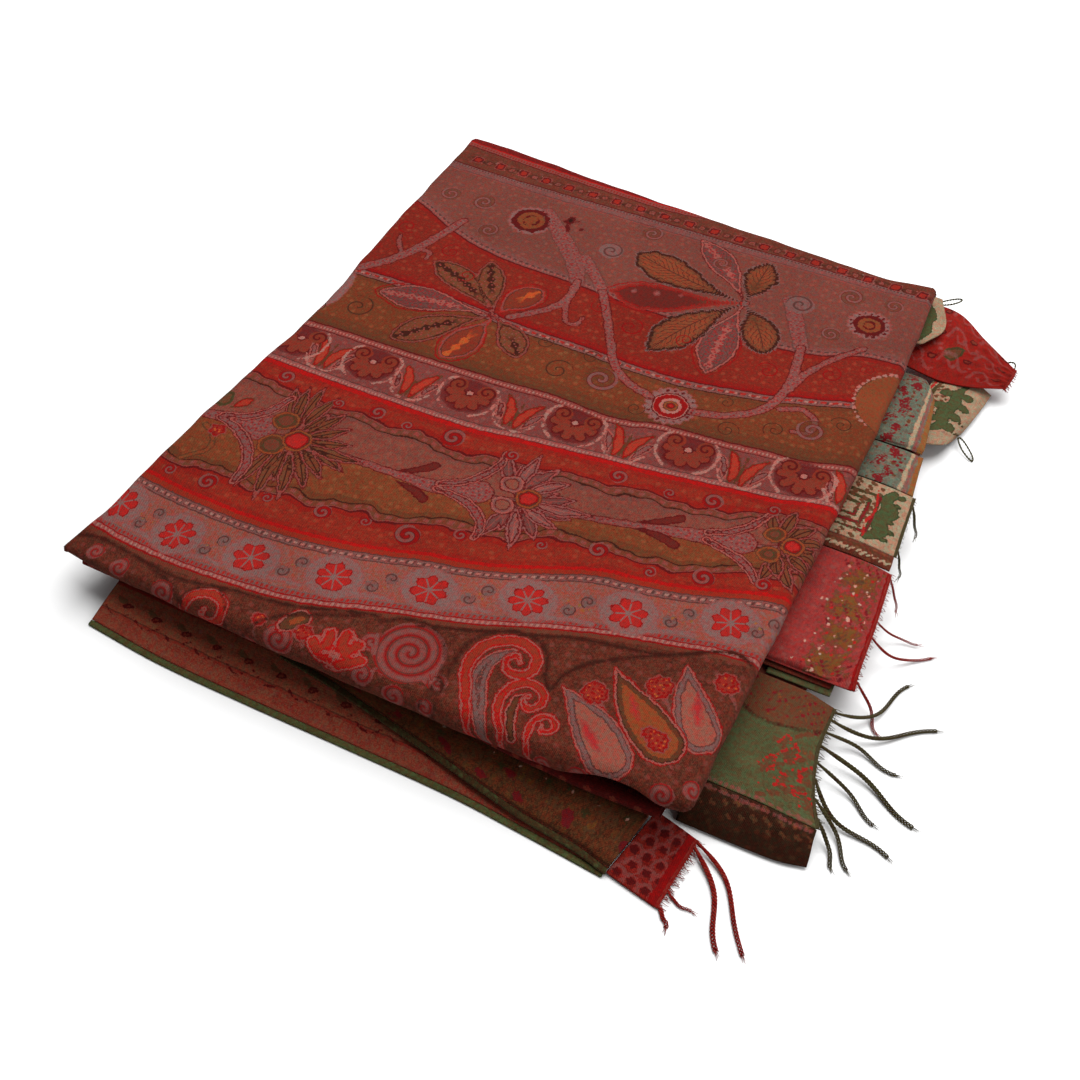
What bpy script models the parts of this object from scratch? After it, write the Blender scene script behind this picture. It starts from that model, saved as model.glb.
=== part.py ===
"""A long shawl folded into a flat packet, its pieced and fringed end showing at the right side.

Lengths in the tables are millimetres. The origin is on the ground under the middle of the packet.
+X runs along the woven bands towards the fringed end, +Y towards the back fold, +Z up.
"""
import math

import bmesh
import bpy
import numpy as np

MM = 0.001

# Driving dimensions
PACKET_HEIGHT = 48.0      # ground to the upper face of the packet
CLOTH = 1.4               # one layer of cloth as it lies folded
THIN_CLOTH = 1.2          # the single leaves of the end blocks
SEAM_GAP = 0.3            # between neighbouring pieces
LAY_GAP = 0.35            # between the top stretch and the layers that it covers
GROUND_GAP = 0.5          # lowest point of a loose edge

# Upper face: it sags to the front, and to the thin front left corner
FRONT_LINE = -243.0
FRONT_SAG = 1.8
FRONT_SAG_WIDTH = 34.0
CORNER_SAG = {"x": -215.0, "y": -255.0, "reach": 85.0, "depth": 12.0}
SWELLS = [  # soft rises of the upper face
    # x, y, reach, height
    (-70.0, 60.0, 70.0, 0.9),
    (95.0, -130.0, 60.0, 0.8),
    (110.0, 120.0, 65.0, 0.7),
    (-90.0, -120.0, 55.0, 0.7),
]

# Lines where the four rolled folds of the top stretch begin
FOLDS = {
    # x, y, radius of the roll, how far it turns in degrees
    "front": [
        (-208.0, -241.0, 2.8, 140.0),
        (-150.0, -241.5, 6.5, 155.0),
        (-67.0, -243.0, 9.0, 160.0),
        (55.0, -243.0, 9.5, 160.0),
        (118.0, -242.0, 9.5, 150.0),
        (143.0, -241.0, 9.2, 96.0),
        (162.0, -240.5, 9.0, 58.0),
        (182.0, -240.0, 8.5, 56.0),
        (196.0, -239.5, 8.0, 92.0),
        (207.0, -239.0, 7.0, 128.0),
    ],
    "right": [
        (207.0, -239.0, 7.0, 128.0),
        (206.5, -179.0, 6.5, 150.0),
        (206.0, -90.0, 6.0, 150.0),
        (205.0, 20.0, 6.0, 150.0),
        (201.5, 136.0, 6.0, 150.0),
        (197.5, 231.0, 4.5, 140.0),
    ],
    "back": [
        (-186.5, 249.5, 5.0, 140.0),
        (-148.0, 248.0, 6.0, 150.0),
        (-75.0, 241.0, 6.0, 150.0),
        (13.0, 235.0, 6.0, 150.0),
        (96.0, 230.0, 6.0, 150.0),
        (160.0, 226.0, 6.0, 150.0),
        (197.5, 231.0, 4.5, 140.0),
    ],
    "left": [
        (-208.0, -241.0, 2.8, 140.0),
        (-198.5, -196.0, 3.4, 145.0),
        (-193.0, -140.0, 4.0, 150.0),
        (-186.0, -60.0, 5.0, 150.0),
        (-180.5, 20.0, 5.0, 150.0),
        (-184.0, 105.0, 5.0, 150.0),
        (-186.5, 249.5, 5.0, 140.0),
    ],
}
TOP_CELLS = (15, 17)      # along X and Y
ROLL_STEPS = 5

# Hidden layers: outline corners in order, with the step that the end of the shawl makes at the right
PACKET_CORNERS_BEFORE_STEP = [(-190.0, -231.0), (-90.0, -232.0), (50.0, -232.0), (194.0, -231.0)]
PACKET_CORNERS_AFTER_STEP = [
    (190.0, 220.0), (60.0, 226.0), (-80.0, 236.0), (-180.0, 240.0),
    (-178.0, 110.0), (-172.0, 20.0), (-181.0, -110.0),
]
STEP_CORNERS = {
    "long": [(200.0, -202.0), (236.0, -198.0), (236.0, 160.0), (200.0, 166.0)],
    "short": [(200.0, -108.0), (236.0, -104.0), (236.0, 96.0), (200.0, 102.0)],
    "none": [(194.0, -112.0), (194.0, -104.0), (193.0, 96.0), (193.0, 104.0)],
}
LAYERS = [
    # bottom, top, step, set back from the outline
    (0.0, 5.5, "long", 0.0),
    (5.5, 11.0, "long", 1.0),
    (11.0, 16.5, "long", 0.4),
    (16.5, 20.7, "short", 1.2),
    (20.7, 25.0, "short", 0.3),
    (25.0, 31.0, "none", 0.8),
    (31.0, 37.5, "none", 0.0),
    (37.5, PACKET_HEIGHT - CLOTH - LAY_GAP, "none", 1.0),
]
SEAM_DEPTH = 3.0          # how far the line between two layers lies in
EDGE_BULGE = (0.25, 0.75) # a layer is widest between these shares of its height
CORNER_ROUND = 7.0        # rounding of an outline corner
CROWN_SHARES = (0.84, 0.58, 0.30)  # rings on the upper face, against the outline
CORNER_SETTLE = 1.15      # the hidden layers sag a little more than the cloth above

# Second fold, under the front roll: it widens to the right, where it stands open
UNDER_FOLD = [
    # x, y of its nose, z of its middle, half height
    (-197.0, -243.5, 25.6, 2.6),
    (-150.0, -242.0, 23.4, 3.0),
    (-60.0, -241.5, 23.2, 3.2),
    (20.0, -243.0, 22.9, 3.8),
    (110.0, -246.5, 22.6, 4.4),
    (165.0, -247.5, 22.5, 4.6),
    (197.0, -246.0, 22.6, 4.4),
]
UNDER_FOLD_DEPTH = 6.0

# Side border leaves in front. Each row runs from the hidden back edge to the selvedge.
LOWER_LEAF = [
    # back x, y, z, middle x, y, z, front x, y, z
    ((-176.0, -234.8, 15.0), (-178.0, -251.0, 8.6), (-180.0, -264.0, 2.3)),
    ((-123.0, -234.8, 15.2), (-123.0, -253.0, 8.8), (-123.0, -269.0, 2.3)),
    ((-60.0, -234.8, 15.2), (-60.0, -253.5, 8.8), (-60.0, -270.0, 2.3)),
    ((10.0, -234.8, 15.0), (10.0, -254.0, 8.2), (10.0, -270.0, 2.3)),
    ((80.0, -234.8, 15.0), (80.0, -254.0, 8.0), (80.0, -270.5, 2.3)),
    ((130.0, -234.8, 15.0), (128.0, -256.0, 8.0), (126.0, -273.5, 2.3)),
    ((191.0, -234.8, 14.6), (186.0, -257.5, 8.0), (180.0, -278.0, 2.3)),
]
UPPER_LEAF = [
    ((-52.0, -235.3, 17.4), (-52.0, -237.5, 17.0), (-52.0, -239.5, 16.4)),
    ((-14.0, -235.3, 17.4), (-14.0, -240.0, 16.6), (-14.0, -244.0, 15.4)),
    ((30.0, -235.3, 17.4), (29.0, -243.5, 16.2), (28.0, -251.0, 13.2)),
    ((78.0, -235.3, 17.4), (76.0, -248.0, 15.0), (74.0, -259.5, 11.2)),
    ((126.0, -235.3, 17.3), (124.0, -252.5, 13.6), (122.0, -268.5, 8.6)),
    ((164.0, -235.3, 17.2), (162.0, -255.0, 12.6), (159.0, -272.5, 6.8)),
    ((191.0, -235.3, 17.0), (187.0, -257.0, 11.6), (181.5, -277.0, 4.7)),
]
SELVEDGE_WIDTH = 3.0
SELVEDGE_THICKNESS = 1.6

# End blocks. Each row runs from the front to the back edge, rows go from the packet to the free edge.
RED_BLOCK = [
    ((181.2, -278.5, 2.4), (187.0, -257.5, 8.2), (192.2, -237.0, 13.4)),
    ((198.0, -282.0, 2.1), (201.0, -258.5, 4.4), (205.0, -237.0, 8.0)),
    ((213.0, -285.0, 2.0), (215.0, -260.0, 2.8), (217.0, -238.0, 4.2)),
]
GREEN_BLOCK = [
    ((202.5, -209.0, 18.6), (202.5, -190.0, 19.4), (202.5, -160.0, 19.8), (202.5, -126.5, 20.0)),
    ((224.0, -209.0, 18.6), (224.0, -188.0, 19.2), (224.0, -160.0, 19.6), (224.0, -126.5, 19.8)),
    ((241.0, -209.0, 18.5), (240.0, -188.0, 18.8), (240.0, -158.0, 19.0), (240.0, -126.5, 19.0)),
    ((258.0, -209.0, 17.0), (252.0, -187.0, 15.6), (249.0, -157.0, 15.6), (249.0, -126.5, 16.0)),
    ((275.0, -208.5, 14.8), (264.0, -185.0, 13.0), (257.0, -157.0, 13.2), (256.0, -126.5, 13.6)),
]
BROWN_BAND = [
    ((202.0, -231.0, 2.2), (202.0, -225.0, 9.4), (202.0, -217.0, 15.4), (202.0, -209.6, 18.5)),
    ((240.0, -230.5, 2.2), (240.0, -224.6, 9.2), (240.0, -217.0, 15.2), (240.0, -209.6, 18.4)),
    ((262.0, -229.5, 2.2), (262.0, -224.0, 8.6), (262.0, -217.0, 14.0), (262.0, -209.6, 16.6)),
    ((277.5, -226.0, 2.2), (277.0, -221.0, 7.4), (276.0, -215.0, 12.2), (275.6, -209.2, 14.7)),
]
PINK_BLOCK = [
    ((202.5, -118.0, 23.6), (202.5, -111.0, 27.0), (196.0, -70.0, 28.4), (196.0, -22.0, 28.6)),
    ((231.0, -118.0, 23.4), (231.0, -111.0, 26.8), (231.0, -68.0, 27.8), (231.0, -22.0, 28.0)),
    ((247.0, -117.5, 22.8), (247.0, -110.0, 25.6), (247.0, -66.0, 26.2), (245.0, -22.0, 26.6)),
    ((262.0, -115.0, 20.6), (260.0, -100.0, 22.6), (257.5, -62.0, 23.6), (253.5, -22.0, 24.6)),
]
RED_UNDER_LEAF = [
    ((204.0, -120.0, 21.0), (204.0, -114.5, 21.6), (204.0, -108.6, 21.8)),
    ((230.0, -120.0, 20.9), (230.0, -114.0, 21.5), (230.0, -107.8, 21.7)),
    ((250.0, -118.5, 18.8), (250.0, -113.0, 20.2), (250.0, -107.5, 20.6)),
]
GREEN_UNDER_LEAF = [
    ((212.0, -123.6, 18.9), (212.0, -116.0, 19.4), (212.0, -107.5, 19.7)),
    ((232.0, -123.6, 18.9), (232.0, -116.0, 19.4), (232.0, -107.5, 19.7)),
    ((251.5, -122.0, 16.6), (251.5, -114.0, 18.0), (251.5, -107.5, 18.6)),
]
CREAM_BAND = [
    ((196.0, -21.3, 28.4), (196.0, -17.5, 30.4), (196.0, -12.5, 30.4), (196.0, -8.6, 29.0)),
    ((230.0, -21.3, 27.8), (230.0, -17.5, 30.0), (230.0, -12.5, 30.0), (230.0, -8.6, 28.4)),
    ((253.0, -20.5, 24.8), (253.0, -17.0, 26.4), (252.5, -12.5, 26.6), (252.0, -8.6, 25.6)),
]
CREAM_BLOCK = [
    ((196.0, -8.0, 28.8), (196.0, 20.0, 28.8), (196.0, 46.5, 28.8)),
    ((230.0, -8.0, 28.2), (230.0, 20.0, 28.0), (229.0, 46.5, 28.0)),
    ((251.5, -8.0, 25.4), (249.0, 20.0, 25.6), (247.0, 46.5, 25.8)),
]
BLUE_BLOCK_FRONT = [
    ((196.0, 47.2, 29.2), (196.0, 66.0, 29.6), (196.0, 84.0, 28.8)),
    ((228.0, 47.2, 28.6), (228.0, 66.0, 28.8), (228.0, 84.0, 28.0)),
    ((246.5, 47.2, 26.0), (244.0, 66.0, 26.4), (242.0, 84.0, 26.2)),
]
BLUE_BLOCK_BACK = [
    ((196.0, 84.6, 29.6), (196.0, 90.0, 32.2), (196.0, 120.0, 33.4), (196.0, 150.0, 31.6), (196.0, 164.0, 24.0)),
    ((219.0, 84.6, 29.0), (219.0, 90.0, 31.6), (219.0, 120.0, 33.0), (218.0, 150.0, 30.8), (217.0, 165.0, 22.6)),
    ((231.0, 86.0, 28.0), (231.0, 92.0, 30.2), (229.0, 120.0, 31.2), (227.0, 146.0, 28.8), (224.0, 160.0, 21.6)),
    ((240.0, 88.0, 25.6), (240.0, 94.0, 27.0), (236.0, 120.0, 27.4), (232.0, 142.0, 25.4), (227.0, 155.0, 20.6)),
]
LEAF_BLOCK = [
    ((222.0, 106.0, 18.4), (222.0, 130.0, 18.4), (222.0, 156.0, 18.4), (224.0, 186.0, 13.0)),
    ((238.0, 108.0, 18.0), (239.0, 131.0, 17.4), (240.0, 160.0, 16.6), (241.0, 189.0, 12.0)),
    ((249.0, 118.0, 12.6), (252.0, 137.0, 11.6), (254.0, 164.0, 11.0), (254.0, 191.0, 9.0)),
    ((252.0, 130.0, 6.4), (256.0, 145.0, 5.4), (260.0, 167.0, 5.0), (263.0, 190.0, 5.0)),
]
RED_CORNER = [
    ((192.0, 172.0, 26.0), (191.6, 196.0, 29.0), (191.4, 220.0, 31.0), (193.0, 238.0, 31.4)),
    ((224.0, 174.0, 17.6), (224.0, 194.0, 25.0), (223.0, 218.0, 29.4), (221.0, 237.0, 29.6)),
    ((246.0, 180.0, 14.6), (247.0, 195.0, 20.6), (247.0, 209.0, 25.0), (245.0, 221.0, 26.4)),
    ((269.0, 191.0, 13.0), (270.5, 196.0, 15.8), (271.5, 202.0, 18.0), (271.5, 208.0, 19.2)),
]
CREAM_CORNER = [
    ((191.4, 184.0, 34.6), (190.9, 214.0, 35.0), (192.0, 240.0, 35.0)),
    ((205.0, 186.0, 34.2), (207.0, 214.0, 34.8), (201.0, 241.0, 34.8)),
    ((208.0, 188.0, 33.8), (217.0, 211.0, 33.8), (206.0, 241.0, 34.4)),
]
LEAF_STEPS = 2            # cells between two given points of a leaf

# Fringe: a narrow strip along a free edge, and locks that leave it
STRIP_WIDTH = 1.8
STRIP_THICKNESS = 1.0
LOCK_SEGMENTS = 5
HAIR_SEGMENTS = 2
TIP_SHARE = 0.35          # width of a lock's tip against its root
FLOOR_REST = 1.0          # middle of a lock that has reached the ground
FALL_POWER = 2.4          # how soon a lock comes down
SWAY_TURNS = 0.7          # turns of a lock's sideways wave
HAIR_DROP = 1.5
HAIR_CLEARANCE = 0.035    # share of the edge that a lock keeps free of hairs
END_CLEARANCE = 0.015     # share of the edge with no hair at each end
RED_LOCKS = [
    # share of the edge, reach along X, reach along Y, sideways sway, width, height of the tip
    (0.03, 9.0, -9.0, 0.5, 1.6, 1.0),
    (0.26, 15.0, -7.0, -1.2, 1.2, 1.0),
    (0.90, 37.0, -49.0, 4.0, 2.0, 1.0),
    (0.975, 50.0, -47.0, 5.5, 1.8, 1.0),
]
GREEN_LOCKS = [
    (0.03, 36.0, 44.0, -6.0, 1.6, 1.0),
    (0.10, 58.0, 26.0, -5.0, 1.8, 1.0),
    (0.21, 44.0, 2.0, 4.0, 1.6, 1.0),
    (0.33, 64.0, -17.0, 4.0, 2.0, 1.0),
    (0.47, 42.0, -14.0, 3.0, 1.6, 1.0),
    (0.60, 50.0, -26.0, -5.0, 1.8, 1.0),
    (0.76, 32.0, -25.0, 3.0, 1.6, 1.0),
    (0.93, 17.0, -15.0, 2.0, 1.6, 1.0),
]
PINK_LOCKS = [
    (0.04, 11.0, -9.0, 1.5, 1.0, 9.0),
    (0.42, 24.0, 14.0, 2.0, 1.1, 2.0),
    (0.56, 36.0, 17.0, -3.0, 1.3, 1.0),
    (0.93, 22.0, -12.0, 3.5, 1.3, 1.0),
]
CREAM_LOCKS = [
    (0.10, 7.0, -10.0, 1.0, 1.0, 14.0),
    (0.86, 9.0, -12.0, 1.0, 1.2, 12.0),
]
HAIRS = {
    # count, length, spread in degrees, width
    "red_fringe": (15, 7.0, 22.0, 1.1),
    "green_fringe": (17, 7.0, 20.0, 1.2),
    "pink_fringe": (17, 5.0, 24.0, 1.2),
    "cream_fringe": (13, 3.0, 20.0, 1.0),
    "corner_fringe": (9, 4.0, 30.0, 1.0),
}

# Loops of fringe yarn: closed routes around their middle
THREAD = 1.4              # thickness of a loop's yarn
LOOP_SIDES = 4
LOOP_STEPS = 12
THREAD_LOOPS = {
    # centre x, y, z, half length, half width, turn in degrees, tilt towards the ground in degrees
    "leaf_thread_loop": (262.0, 130.1, 3.3, 9.6, 2.4, -42.0, 14.0),
    "corner_thread_loop": (263.8, 204.6, 13.5, 16.0, 5.6, 71.0, -4.3),
    "back_thread_loop": (211.5, 245.2, 30.9, 9.0, 2.4, 43.0, 0.0),
}

FINISHES = {
    # red, green, blue, roughness
    "field_red": (0.33, 0.075, 0.035, 0.85),
    "deep_red": (0.22, 0.022, 0.018, 0.85),
    "border_brown": (0.16, 0.055, 0.028, 0.88),
    "selvedge_green": (0.085, 0.13, 0.045, 0.85),
    "block_green": (0.12, 0.15, 0.06, 0.85),
    "block_pink": (0.42, 0.07, 0.07, 0.82),
    "block_blue": (0.27, 0.33, 0.29, 0.85),
    "block_cream": (0.42, 0.33, 0.22, 0.87),
    "fringe_olive": (0.10, 0.075, 0.035, 0.9),
    "fringe_red": (0.36, 0.018, 0.022, 0.9),
}


def clear_scene():
    for old in list(bpy.data.objects):
        bpy.data.objects.remove(old, do_unlink=True)


def finish(name):
    """Material of one dyed wool."""
    material = bpy.data.materials.get(name) or bpy.data.materials.new(name)
    red, green, blue, rough = FINISHES[name]
    material.use_nodes = True
    shader = material.node_tree.nodes["Principled BSDF"]
    shader.inputs["Base Color"].default_value = (red, green, blue, 1.0)
    shader.inputs["Roughness"].default_value = rough
    shader.inputs["Metallic"].default_value = 0.0
    return material


def add_solid(name, vertices, faces, colour):
    """Closed body from points in millimetres."""
    mesh = bpy.data.meshes.new(name)
    mesh.from_pydata([tuple(float(c) * MM for c in v) for v in vertices], [], faces)
    body = bmesh.new()
    body.from_mesh(mesh)
    bmesh.ops.recalc_face_normals(body, faces=body.faces)
    body.to_mesh(mesh)
    body.free()
    mesh.shade_smooth()
    mesh.set_sharp_from_angle(angle=math.radians(50.0))
    mesh.materials.append(finish(colour))
    solid = bpy.data.objects.new(name, mesh)
    bpy.context.scene.collection.objects.link(solid)
    return solid


def curve_through(points, steps):
    """Points on a smooth curve through the given ones, with equal steps between two of them."""
    given = np.array(points, dtype=float)
    before = 2.0 * given[0] - given[1]
    after = 2.0 * given[-1] - given[-2]
    line = np.vstack([before, given, after])
    curve = []
    for i in range(1, len(line) - 2):
        for step in range(steps):
            t = step / steps
            a, b, c, d = line[i - 1], line[i], line[i + 1], line[i + 2]
            curve.append(0.5 * (2 * b + (c - a) * t + (2 * a - 5 * b + 4 * c - d) * t ** 2
                                + (3 * b - 3 * c + d - a) * t ** 3))
    curve.append(line[-2])
    return np.array(curve)


def resample(points, count):
    """The same curve with count equal steps of its parameter."""
    fine = curve_through(points, 24)
    places = np.linspace(0.0, len(fine) - 1.0, count + 1)
    return np.array([[np.interp(p, np.arange(len(fine)), fine[:, k]) for k in range(fine.shape[1])]
                     for p in places])


def smooth_net(rows, steps):
    """Grid of points through rows of given points."""
    across = [curve_through(row, steps) for row in rows]
    columns = [curve_through([row[j] for row in across], steps) for j in range(len(across[0]))]
    return np.array(columns)


def grid_normals(grid):
    along = np.gradient(grid, axis=0)
    across = np.gradient(grid, axis=1)
    normal = np.cross(along, across)
    return normal / np.maximum(np.linalg.norm(normal, axis=2, keepdims=True), 1e-9)


def wall_from_grid(name, outer, thickness, colour, inside):
    """Wall of even thickness: outer points, and the same points moved towards the inside direction."""
    normal = grid_normals(outer)
    middle = normal[normal.shape[0] // 2, normal.shape[1] // 2]
    if float(np.dot(middle, np.array(inside))) < 0.0:
        normal = -normal
    inner = outer + normal * thickness
    rows, columns = outer.shape[:2]
    vertices = [p for line in outer for p in line] + [p for line in inner for p in line]
    offset = rows * columns

    def index(i, j, side):
        return side * offset + i * columns + j

    faces = []
    for i in range(rows - 1):
        for j in range(columns - 1):
            faces.append((index(i, j, 0), index(i + 1, j, 0), index(i + 1, j + 1, 0), index(i, j + 1, 0)))
            faces.append((index(i, j, 1), index(i, j + 1, 1), index(i + 1, j + 1, 1), index(i + 1, j, 1)))
    for i in range(rows - 1):
        for j in (0, columns - 1):
            faces.append((index(i, j, 0), index(i, j, 1), index(i + 1, j, 1), index(i + 1, j, 0)))
    for j in range(columns - 1):
        for i in (0, rows - 1):
            faces.append((index(i, j, 0), index(i, j + 1, 0), index(i, j + 1, 1), index(i, j, 1)))
    return add_solid(name, vertices, faces, colour)


def corner_sag(x, y):
    away = ((x - CORNER_SAG["x"]) ** 2 + (y - CORNER_SAG["y"]) ** 2) / CORNER_SAG["reach"] ** 2
    return CORNER_SAG["depth"] * math.exp(-away)


def front_sag(y):
    return FRONT_SAG * math.exp(-((y - FRONT_LINE) / FRONT_SAG_WIDTH) ** 2)


def upper_face(x, y):
    """Height of the packet's upper face."""
    height = PACKET_HEIGHT - corner_sag(x, y) - front_sag(y)
    for swell_x, swell_y, reach, rise in SWELLS:
        height += rise * math.exp(-((x - swell_x) ** 2 + (y - swell_y) ** 2) / reach ** 2)
    return height


def top_panel_point(i, j, lines, columns, rows):
    """Point of the top stretch: its flat middle, or the roll that leaves the nearest fold line."""
    u_cell = min(max(i - ROLL_STEPS, 0), columns)
    v_cell = min(max(j - ROLL_STEPS, 0), rows)
    u = u_cell / columns
    v = v_cell / rows
    front, right, back, left = lines["front"], lines["right"], lines["back"], lines["left"]
    blend = ((1 - v) * front[u_cell] + v * back[u_cell] + (1 - u) * left[v_cell] + u * right[v_cell]
             - (1 - u) * (1 - v) * front[0] - u * (1 - v) * front[-1]
             - (1 - u) * v * back[0] - u * v * back[-1])
    x, y, radius, turn = blend
    out_x = (i - ROLL_STEPS) - u_cell
    out_y = (j - ROLL_STEPS) - v_cell
    ring = max(abs(out_x), abs(out_y))
    base = np.array([x, y, upper_face(x, y)])
    if ring == 0:
        return base
    away = np.array([out_x, out_y], dtype=float)
    away /= np.linalg.norm(away)
    angle = math.radians(turn) * ring / ROLL_STEPS
    out = radius * math.sin(angle)
    down = radius * (1.0 - math.cos(angle))
    return base + np.array([away[0] * out, away[1] * out, -down])


def make_top_panel():
    columns, rows = TOP_CELLS
    lines = {
        "front": resample(FOLDS["front"], columns),
        "back": resample(FOLDS["back"], columns),
        "left": resample(FOLDS["left"], rows),
        "right": resample(FOLDS["right"], rows),
    }
    grid = [[top_panel_point(i, j, lines, columns, rows) for j in range(rows + 2 * ROLL_STEPS + 1)]
            for i in range(columns + 2 * ROLL_STEPS + 1)]
    return wall_from_grid("top_panel", np.array(grid), CLOTH, "field_red", (0, 0, -1))


def packet_outline(step, inset):
    """Rounded outline of one hidden layer, moved in by inset."""
    corners = np.array(PACKET_CORNERS_BEFORE_STEP + STEP_CORNERS[step] + PACKET_CORNERS_AFTER_STEP)
    points = []
    for k, corner in enumerate(corners):
        before = corners[k - 1] - corner
        after = corners[(k + 1) % len(corners)] - corner
        cut = min(CORNER_ROUND, 0.3 * np.linalg.norm(before), 0.3 * np.linalg.norm(after))
        before *= cut / np.linalg.norm(before)
        after *= cut / np.linalg.norm(after)
        points.append(corner + before)
        points.append(corner + 0.25 * (before + after))
        points.append(corner + after)
    line = np.array(points)
    along = np.roll(line, -1, axis=0) - np.roll(line, 1, axis=0)
    along /= np.linalg.norm(along, axis=1, keepdims=True)
    inward = np.column_stack([-along[:, 1], along[:, 0]])
    return line + inward * inset


def settled_ring(outline, height):
    """One ring of the hidden layers, pressed down towards the front and the thin corner."""
    ring = []
    for x, y in outline:
        sag = CORNER_SETTLE * corner_sag(x, y) + front_sag(y)
        ring.append((x, y, height * (1.0 - sag / PACKET_HEIGHT)))
    return ring


def make_hidden_layers():
    rings = []
    for level, (bottom, top, step, set_back) in enumerate(LAYERS):
        seam = packet_outline(step, set_back + SEAM_DEPTH)
        edge = packet_outline(step, set_back)
        rings.append(settled_ring(seam, bottom))
        for share in EDGE_BULGE:
            rings.append(settled_ring(edge, bottom + share * (top - bottom)))
        above = LAYERS[level + 1][2] if level + 1 < len(LAYERS) else None
        if above != step:
            rings.append(settled_ring(seam, top))
    for share in CROWN_SHARES:
        rings.append(settled_ring(seam * share, top))
    count = len(rings[0])
    vertices = [p for ring in rings for p in ring]
    faces = [tuple(reversed(range(count)))]
    for level in range(len(rings) - 1):
        for k in range(count):
            after = (k + 1) % count
            low = level * count
            high = low + count
            faces.append((low + k, low + after, high + after, high + k))
    last = (len(rings) - 1) * count
    vertices.append((0.0, 0.0, top))
    for k in range(count):
        faces.append((last + k, last + (k + 1) % count, len(vertices) - 1))
    return add_solid("hidden_layers", vertices, faces, "deep_red")


def make_under_fold():
    """Roll open to the back, turned around its nose."""
    stations = resample(UNDER_FOLD, 14)
    grid = []
    for x, nose, middle, half in stations:
        centre = nose + half
        section = [(x, centre + UNDER_FOLD_DEPTH, middle + half)]
        for k in range(9):
            angle = math.radians(90.0 + 22.5 * k)
            section.append((x, centre + half * math.cos(angle), middle + half * math.sin(angle)))
        section.append((x, centre + UNDER_FOLD_DEPTH, middle - half))
        grid.append(section)
    return wall_from_grid("under_fold", np.array(grid), THIN_CLOTH, "deep_red", (0, 1, 0))


def make_leaf(name, rows, thickness, colour):
    return wall_from_grid(name, smooth_net(rows, LEAF_STEPS), thickness, colour, (0, 0, -1))


def make_selvedge(name, rows):
    """Guard strip along the front edge of a leaf, from that edge's own points moved out."""
    edge = curve_through([row[-1] for row in rows], LEAF_STEPS)
    grid = []
    for x, y, z in edge:
        near = y - SEAM_GAP
        far = near - SELVEDGE_WIDTH
        drop = min(0.5, z - GROUND_GAP - SELVEDGE_THICKNESS)
        grid.append([(x, near, z), (x, 0.5 * (near + far), z - 0.1), (x, far, z - max(drop, 0.0))])
    return wall_from_grid(name, np.array(grid), SELVEDGE_THICKNESS, "selvedge_green", (0, 0, -1))


def lock_path(root, reach_x, reach_y, sway, tip_height, segments):
    """Middle line of a lock: out of the strip, down, and along what it lies on."""
    side = np.array([-reach_y, reach_x]) / math.hypot(reach_x, reach_y)
    path = []
    for k in range(segments + 1):
        t = k / segments
        bend = sway * math.sin(2.0 * math.pi * SWAY_TURNS * t)
        fall = (1.0 - t) ** FALL_POWER
        path.append((root[0] + reach_x * t + side[0] * bend,
                     root[1] + reach_y * t + side[1] * bend,
                     tip_height + (root[2] - tip_height) * fall))
    return path


def hair_rows(name, locks, end_margin):
    """Short hairs between the locks, as rows of the locks' table."""
    count, length, spread, width = HAIRS[name]
    rows = []
    for k in range(count):
        share = end_margin + (1.0 - 2.0 * end_margin) * k / (count - 1)
        if any(abs(share - lock[0]) < HAIR_CLEARANCE for lock in locks):
            continue
        angle = math.radians(spread * math.sin(2.3 * k + 0.6))
        reach = length * (0.72 + 0.28 * math.sin(1.7 * k + 1.1))
        rows.append((share, reach * math.cos(angle), reach * math.sin(angle), 0.0, width, None))
    return rows


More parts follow.
